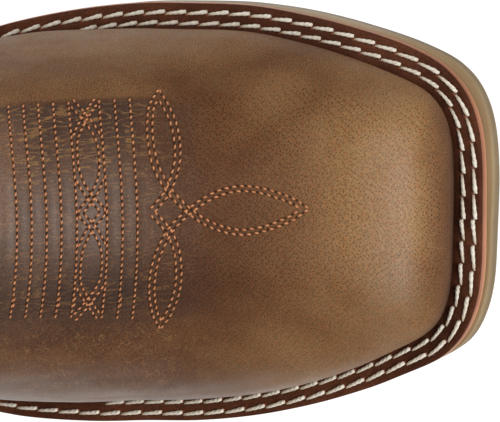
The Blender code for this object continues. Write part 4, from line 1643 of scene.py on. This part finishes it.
def add_welt():
    """Welt with a cut edge, two stitch channels and painted shade beside the upper."""
    section = welt_section()
    cover = outline_loop(lambda x, y: feather_inset(x, y) + UPPER_WALL + GAP)
    top_loops, top_shade = welt_top(cover)
    loops = [raised(outline_loop(inset), height) for inset, height in section] + top_loops
    loops += [raised(cover, height) for height in (WELT_TOP, WELT_LOW)]
    rows, count = len(loops), len(cover)
    row = np.arange(rows)
    top = np.repeat((row >= len(section) - WELT_ROUND_STEPS) & (row < rows - 1), count).astype(int)
    faces = grid_faces(rows, count, True, True)
    materials = [FINISH["welt_edge"], FINISH["welt"]]
    piece = add_piece("welt_strip", np.array(loops), faces, materials, "welt_leather", top, "welt")
    # Painted shade on the welt's top face, darkest beside the upper
    deep = np.zeros((rows, count))
    deep[len(section):len(section) + len(top_shade)] = top_shade
    set_value(piece, "deep", deep)
    # Painted light at the foot of the cut edge, fading out over its lowest EDGE_PALE millimetres
    foot = np.zeros(rows)
    foot[:len(section)] = [np.clip(1 - (height - OUTSOLE_THICK) / EDGE_PALE, 0, 1) for _, height in section]
    set_value(piece, "foot", np.repeat(foot, count))


PITCH_COLUMNS = ("x", "outer_row", "inner_row")
WELT_PITCH = (
    (0, 5.75, 5.5),
    (80, 5.75, 5.5),
    (115, 5.9, 5.6),
    (140, 6.9, 6),
)
CORD_RADIUS = 0.54
CORD_TURNS = 2.0
CORD_LOW = 0.1
MARK_SIZE = (0.42, 0.36)
MARK_ASIDE = 0.55
MARK_LIFT = 0.22


def on_welt(plan):
    """Points and normals of a plan line on the welt's top face."""
    points = raised(plan, WELT_TOP - CORD_LOW)
    above = raised(plan, WELT_TOP + 1.0)
    return points, unit(above - points)


def welt_row(inner, rows):
    """Plan of one side's stitch row, heel to toe; the inner row only where the upper leaves it room."""
    at = np.linspace(1, 0, 2 * SOLE_SIDE)
    plan = inset_side(inner, row_inset(rows), at)
    if rows is ROW_OUTER:
        return plan
    shown = feather_inset(*inset_side(inner, 0.0, at).T) > ROW_INNER_FEATHER
    return plan[shown & (plan[:, 0] > ROW_INNER_START[inner])]


def add_welt_stitches():
    """Two rows of cream cord on each side, running from the heel to the toe."""
    table = columns(WELT_PITCH, PITCH_COLUMNS)
    parts, marks = [], []
    for inner in (True, False):
        for rows, row in ((ROW_OUTER, "outer_row"), (ROW_INNER, "inner_row")):
            points, normals = on_welt(welt_row(inner, rows))
            pitch = smooth(points[:, 0], table["x"], table[row])
            parts.append(cord_row(points, normals, pitch, CORD_RADIUS, CORD_TURNS))
            aside = MARK_ASIDE if inner else -MARK_ASIDE
            marks.append(needle_holes(points, normals, pitch, *MARK_SIZE, MARK_LIFT, aside))
    vertices, faces = join_parts(parts)
    piece = add_piece("welt_stitches", vertices, faces, [FINISH["cord"]], "welt_leather", sharp=None)
    # Thin starts of the cord stitches take painted shade
    set_value(piece, "ends", cord_starts(vertices))
    add_piece("welt_stitch_holes", *join_parts(marks), [FINISH["rust"]], "welt_leather", sharp=None)


# Underside: shallow cross ribs inside a plain border
RIB_DEEP = 0.9
RIB_PITCH = 6.5
RIB_BORDER = 9.0
RIB_BORDER_SOFT = 1.2
RIB_BOW = 0.004
RIB_SHARP = 6
RIB_FRONT = 136.0
RIB_BACK = 26.0
HEEL_RIB_FRONT = -86.0
OUTSOLE_EDGE = (
    (0.25, 0.25), (0, 0.9), (0, 2.2), (0, 3.6), (0, 5), (0, 6.4), (0.1, 6.85), (0.4, 7),
)
FOOT_INSET = 0.9
TOE_WARM_FROM = 95.0
TOE_WARM_OVER = 50.0


def rib_depth(plan, border, back, front):
    """Depth of the tread's grooves at points of the underside, given their distance to its border."""
    wave = 0.5 + 0.5 * np.cos(2 * np.pi * (plan[..., 0] + RIB_BOW * plan[..., 1] ** 2) / RIB_PITCH)
    inside = ease((border - RIB_BORDER) / RIB_BORDER_SOFT)
    inside = inside * ease(plan[..., 0] - back) * ease(front - plan[..., 0])
    return RIB_DEEP * wave**RIB_SHARP * inside


def cross_grid(inner, outer, steps):
    """Grid across a sole from its inner edge to its outer edge."""
    t = np.linspace(0, 1, steps + 1)[None, :, None]
    return inner[:, None] * (1 - t) + outer[:, None] * t


def edge_distance(plan, outline):
    """Distance in plan from each grid point to an outline."""
    tree = search_tree([(x, y, 0.0) for x, y in outline])
    flat = plan.reshape(-1, 2)
    return np.array([tree.find((x, y, 0.0))[2] for x, y in flat]).reshape(plan.shape[:2])


def rim_of(rows, count):
    """Indices round the border of a grid."""
    rim = list(range(count))
    rim += [r * count + count - 1 for r in range(1, rows)]
    rim += [(rows - 1) * count + k for k in range(count - 2, -1, -1)]
    return rim + [r * count for r in range(rows - 2, 0, -1)]


def block_faces(rows, count, rings):
    """Quads of a block: bottom grid, rings round its side and top grid; all rings follow the grids' rim."""
    grid = grid_faces(rows, count)
    size = rows * count
    rim = np.array(rim_of(rows, count))
    turn = len(rim)
    loops = [rim] + [size + n * turn + np.arange(turn) for n in range(rings)] + [size + rings * turn + rim]
    sides = [np.stack([a, np.roll(a, -1), np.roll(b, -1), b], -1) for a, b in zip(loops[:-1], loops[1:])]
    return np.vstack([grid[:, ::-1], *sides, grid + size + rings * turn])


def add_block(name, bottom, rings, top, slot, node):
    """A rubber block from its bottom grid, the rings round its side and its top grid."""
    rows, count = bottom.shape[:2]
    vertices = np.vstack([bottom.reshape(-1, 3), *rings, top.reshape(-1, 3)])
    faces = block_faces(rows, count, len(rings))
    piece = add_piece(name, vertices, faces, [FINISH["rubber"]], slot, node=node)
    set_value(piece, "aside", 1 - ease((vertices[:, 0] - TOE_WARM_FROM) / TOE_WARM_OVER))
    # high: how far up the sole's side, for the rubber's painted light
    set_value(piece, "high", np.clip((vertices[:, 2] - tread(*vertices[:, :2].T)) / OUTSOLE_THICK, 0, 1))


def sole_plan(inset):
    """Plan grid of the outsole, toe to heel and inner to outer side, moved inward from its edge."""
    sides = [
        inset_side(inner, lambda x, y: sole_edge(x, y) + inset, middles(SOLE_SIDE)) for inner in (True, False)
    ]
    return cross_grid(*sides, SOLE_ACROSS)


def add_outsole():
    """Rubber outsole with eased edges and a ribbed tread."""
    plan = sole_plan(FOOT_INSET)
    rim = rim_of(*plan.shape[:2])
    border = edge_distance(plan, plan.reshape(-1, 2)[rim])
    bottom = raised(plan, rib_depth(plan, border, RIB_BACK, RIB_FRONT))
    rings = []
    for inset, height in OUTSOLE_EDGE[:-1]:
        ring_plan = sole_plan(inset).reshape(-1, 2)[rim]
        rings.append(raised(ring_plan, height))
    inset, height = OUTSOLE_EDGE[-1]
    plan = sole_plan(inset)
    top = raised(plan, height)
    add_block("outsole_rubber", bottom, rings, top, "sole_rubber", "outsole")


# Heel: sides that taper to the floor, with a line round the top lift
HEEL_SIDE = 90
HEEL_ACROSS = 40
LIFT_LINE = 7.0
HEEL_FOOT_EDGE = ((0.3, 0.35), (0.9, 0.0), (3.5, 0.0))
HEEL_LIFT_LINE = ((-0.5, 0.0), (-0.3, 0.3), (0.0, 0.45), (0.3, 0.3), (0.5, 0.0))
HEEL_SIDE_STEPS = (0.4, 0.6, 0.8, 0.97)


def heel_plan(inset):
    """Plan grid of the heel block, breast to back, moved inward from the outsole edge."""
    reach = np.linspace(0, 1, HEEL_POINTS)
    sides = []
    for inner in (True, False):
        line = inset_side(inner, lambda x, y: sole_edge(x, y) + inset, reach)
        line = line[line[:, 0] < BREAST_X]
        sides.append(fractions(line, np.arange(HEEL_SIDE) / (HEEL_SIDE - 0.5)))
    plan = cross_grid(*sides, HEEL_ACROSS)
    t = np.linspace(-1, 1, HEEL_ACROSS + 1)[None]
    fade = (1 - np.arange(HEEL_SIDE) / HEEL_SIDE)[:, None] ** BREAST_FADE
    plan[..., 0] -= BREAST_HOLLOW * (1 - t**2) * fade
    return plan


def add_heel():
    """Heel block with eased edges, a top-lift line and a ribbed tread."""
    plan = heel_plan(HEEL_FLOOR_INSET + FOOT_INSET)
    rim = rim_of(*plan.shape[:2])
    border = edge_distance(plan, plan.reshape(-1, 2)[rim])
    depth = rib_depth(plan, border, -LENGTH, HEEL_RIB_FRONT)
    bottom = np.concatenate([plan, depth[..., None]], -1)
    seat_plan = heel_plan(HEEL_TOP_INSET)
    seat = tread(seat_plan[..., 0], seat_plan[..., 1]) - GAP
    top = np.concatenate([seat_plan, seat[..., None]], -1)
    edge = list(HEEL_FOOT_EDGE)
    edge += [(LIFT_LINE + h, i) for h, i in HEEL_LIFT_LINE]
    edge += [(HEEL_LIFT * s, 0.0) for s in HEEL_SIDE_STEPS]
    rings = []
    for height, inset in edge:
        share = height / HEEL_LIFT
        taper = HEEL_TOP_INSET + (HEEL_FLOOR_INSET - HEEL_TOP_INSET) * (1 - share)
        ring_plan = heel_plan(taper + inset).reshape(-1, 2)[rim]
        z = seat.reshape(-1)[rim] * share
        rings.append(np.concatenate([ring_plan, z[:, None]], -1))
    add_block("heel_block", bottom, rings, top, "sole_rubber", "heel")


def use_node(node, finish):
    """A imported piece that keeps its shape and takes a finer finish."""
    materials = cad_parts[node].data.materials
    materials.clear()
    materials.append(FINISH[finish])


# Copper stitches of the vamp: radius; gap, arch and slant; length, width and lift of their holes
THREAD_RADIUS = 0.26
THREAD_SHAPE = (0.16, 0.16, 0.34)
VAMP_HOLE = (0.52, 0.34, 0.11)


def add_vamp_stitches(tree):
    """Copper stitches of the vamp, with a needle hole at each end."""
    threads, holes = [], []
    for line, pitch in VAMP_LINES:
        points, normals = drop(tree, line)
        threads.append(stitch_row(points, normals, pitch, THREAD_RADIUS, *THREAD_SHAPE))
        holes.append(needle_holes(points, normals, pitch, *VAMP_HOLE))
    add_threads("vamp_stitches", threads, "upper_leather")
    add_piece("vamp_needle_holes", *join_parts(holes), [FINISH["hole"]], "upper_leather", sharp=None)


# Studio
FLOOR_HALF = 3.0
FLOOR_INPUTS = {
    "Base Color": (0.25, 0.25, 0.25, 1.0),
    "Roughness": 0.9,
    "Emission Color": (1.0, 1.0, 1.0, 1.0),
    "Emission Strength": 0.92,
}


def add_floor():
    """Plain white floor."""
    corners = [(x * FLOOR_HALF, y * FLOOR_HALF, 0) for x, y in ((-1, -1), (1, -1), (1, 1), (-1, 1))]
    mesh = bpy.data.meshes.new("floor")
    mesh.from_pydata(corners, [], [(0, 1, 2, 3)])
    material = bpy.data.materials.new("white_floor")
    material.use_nodes = True
    shader = material.node_tree.nodes["Principled BSDF"]
    for key, value in FLOOR_INPUTS.items():
        shader.inputs[key].default_value = value
    mesh.materials.append(material)
    floor = bpy.data.objects.new("floor", mesh)
    bpy.context.scene.collection.objects.link(floor)


WHITE = (1.0, 1.0, 1.0)
WARM = (1.0, 0.97, 0.86)

# Name, place, aim, width, height, power and colour of each light
LIGHTS = (
    ("top_softbox", (-0.20, 0.35, 1.10), (0.05, 0.0, 0.05), 0.8, 0.8, 6.5, WHITE),
    ("front_softbox", (0.84, -0.13, 0.66), (0.08, 0.0, 0.05), 0.7, 0.5, 7.5, WHITE),
    ("inner_softbox", (0.05, 0.95, 0.60), (0.05, 0.0, 0.05), 1.0, 0.5, 0.6, WHITE),
    ("outer_softbox", (0.18, -0.95, 0.60), (0.07, 0.0, 0.05), 1.0, 0.5, 1.5, WARM),
)
SKY = 0.10


def add_lights():
    """Soft boxes round the boot and a faint even sky."""
    for name, place, aim, wide, high, power, colour in LIGHTS:
        lamp = bpy.data.lights.new(name, "AREA")
        lamp.shape = "RECTANGLE"
        lamp.size = wide
        lamp.size_y = high
        lamp.energy = power
        lamp.color = colour
        light = bpy.data.objects.new(name, lamp)
        light.location = place
        light.rotation_euler = (Vector(aim) - Vector(place)).to_track_quat("-Z", "Y").to_euler()
        bpy.context.scene.collection.objects.link(light)
    world = bpy.data.worlds.new("studio")
    world.use_nodes = True
    sky = world.node_tree.nodes["Background"].inputs
    sky["Color"].default_value = (*WHITE, 1.0)
    sky["Strength"].default_value = SKY
    bpy.context.scene.world = world


# The camera looks down on the vamp, tipped a little towards the toe and the inner side
CAMERA_TARGET = (85.67, 1.2, 13.0)
CAMERA_AWAY = 750.0
CAMERA_FRONT_TILT = np.radians(5.0)
CAMERA_INNER_TILT = np.radians(9.0)
PIXELS_PER_MM = 3.72
FRAME_WIDE = 500
SENSOR = 36.0
NEAREST = 0.01


def add_camera():
    """Camera of the photograph's view."""
    back = unit(np.array([np.tan(CAMERA_FRONT_TILT), np.tan(CAMERA_INNER_TILT), 1.0]))
    right = unit(np.array([1.0, 0.0, 0.0]) - back[0] * back)
    up = np.cross(back, right)
    place = (np.array(CAMERA_TARGET) + CAMERA_AWAY * back) * MM
    data = bpy.data.cameras.new("camera")
    data.sensor_fit = "HORIZONTAL"
    data.sensor_width = SENSOR
    data.lens = PIXELS_PER_MM * CAMERA_AWAY * SENSOR / FRAME_WIDE
    data.clip_start = NEAREST
    camera = bpy.data.objects.new("camera", data)
    matrix = Matrix.Identity(4)
    for k, axis in enumerate((right, up, back, place)):
        for i in range(3):
            matrix[i][k] = axis[i]
    camera.matrix_world = matrix
    bpy.context.scene.collection.objects.link(camera)
    bpy.context.scene.camera = camera


VAMP_LINES = vamp_lines()
UPPER = add_upper()
SHAFT_OUTER, SHAFT_INNER = add_shaft()
COUNTER = add_counter()
add_vamp_stitches(tree_of(UPPER))
add_edge_stitches(UPPER, COUNTER, SHAFT_OUTER)
add_binding(SHAFT_OUTER, SHAFT_INNER)
add_piping(SHAFT_OUTER)
add_straps()
add_welt()
add_welt_stitches()
add_outsole()
add_heel()
use_node("insole", "insole")
add_floor()
add_lights()
add_camera()
bpy.context.scene.view_settings.view_transform = "Standard"
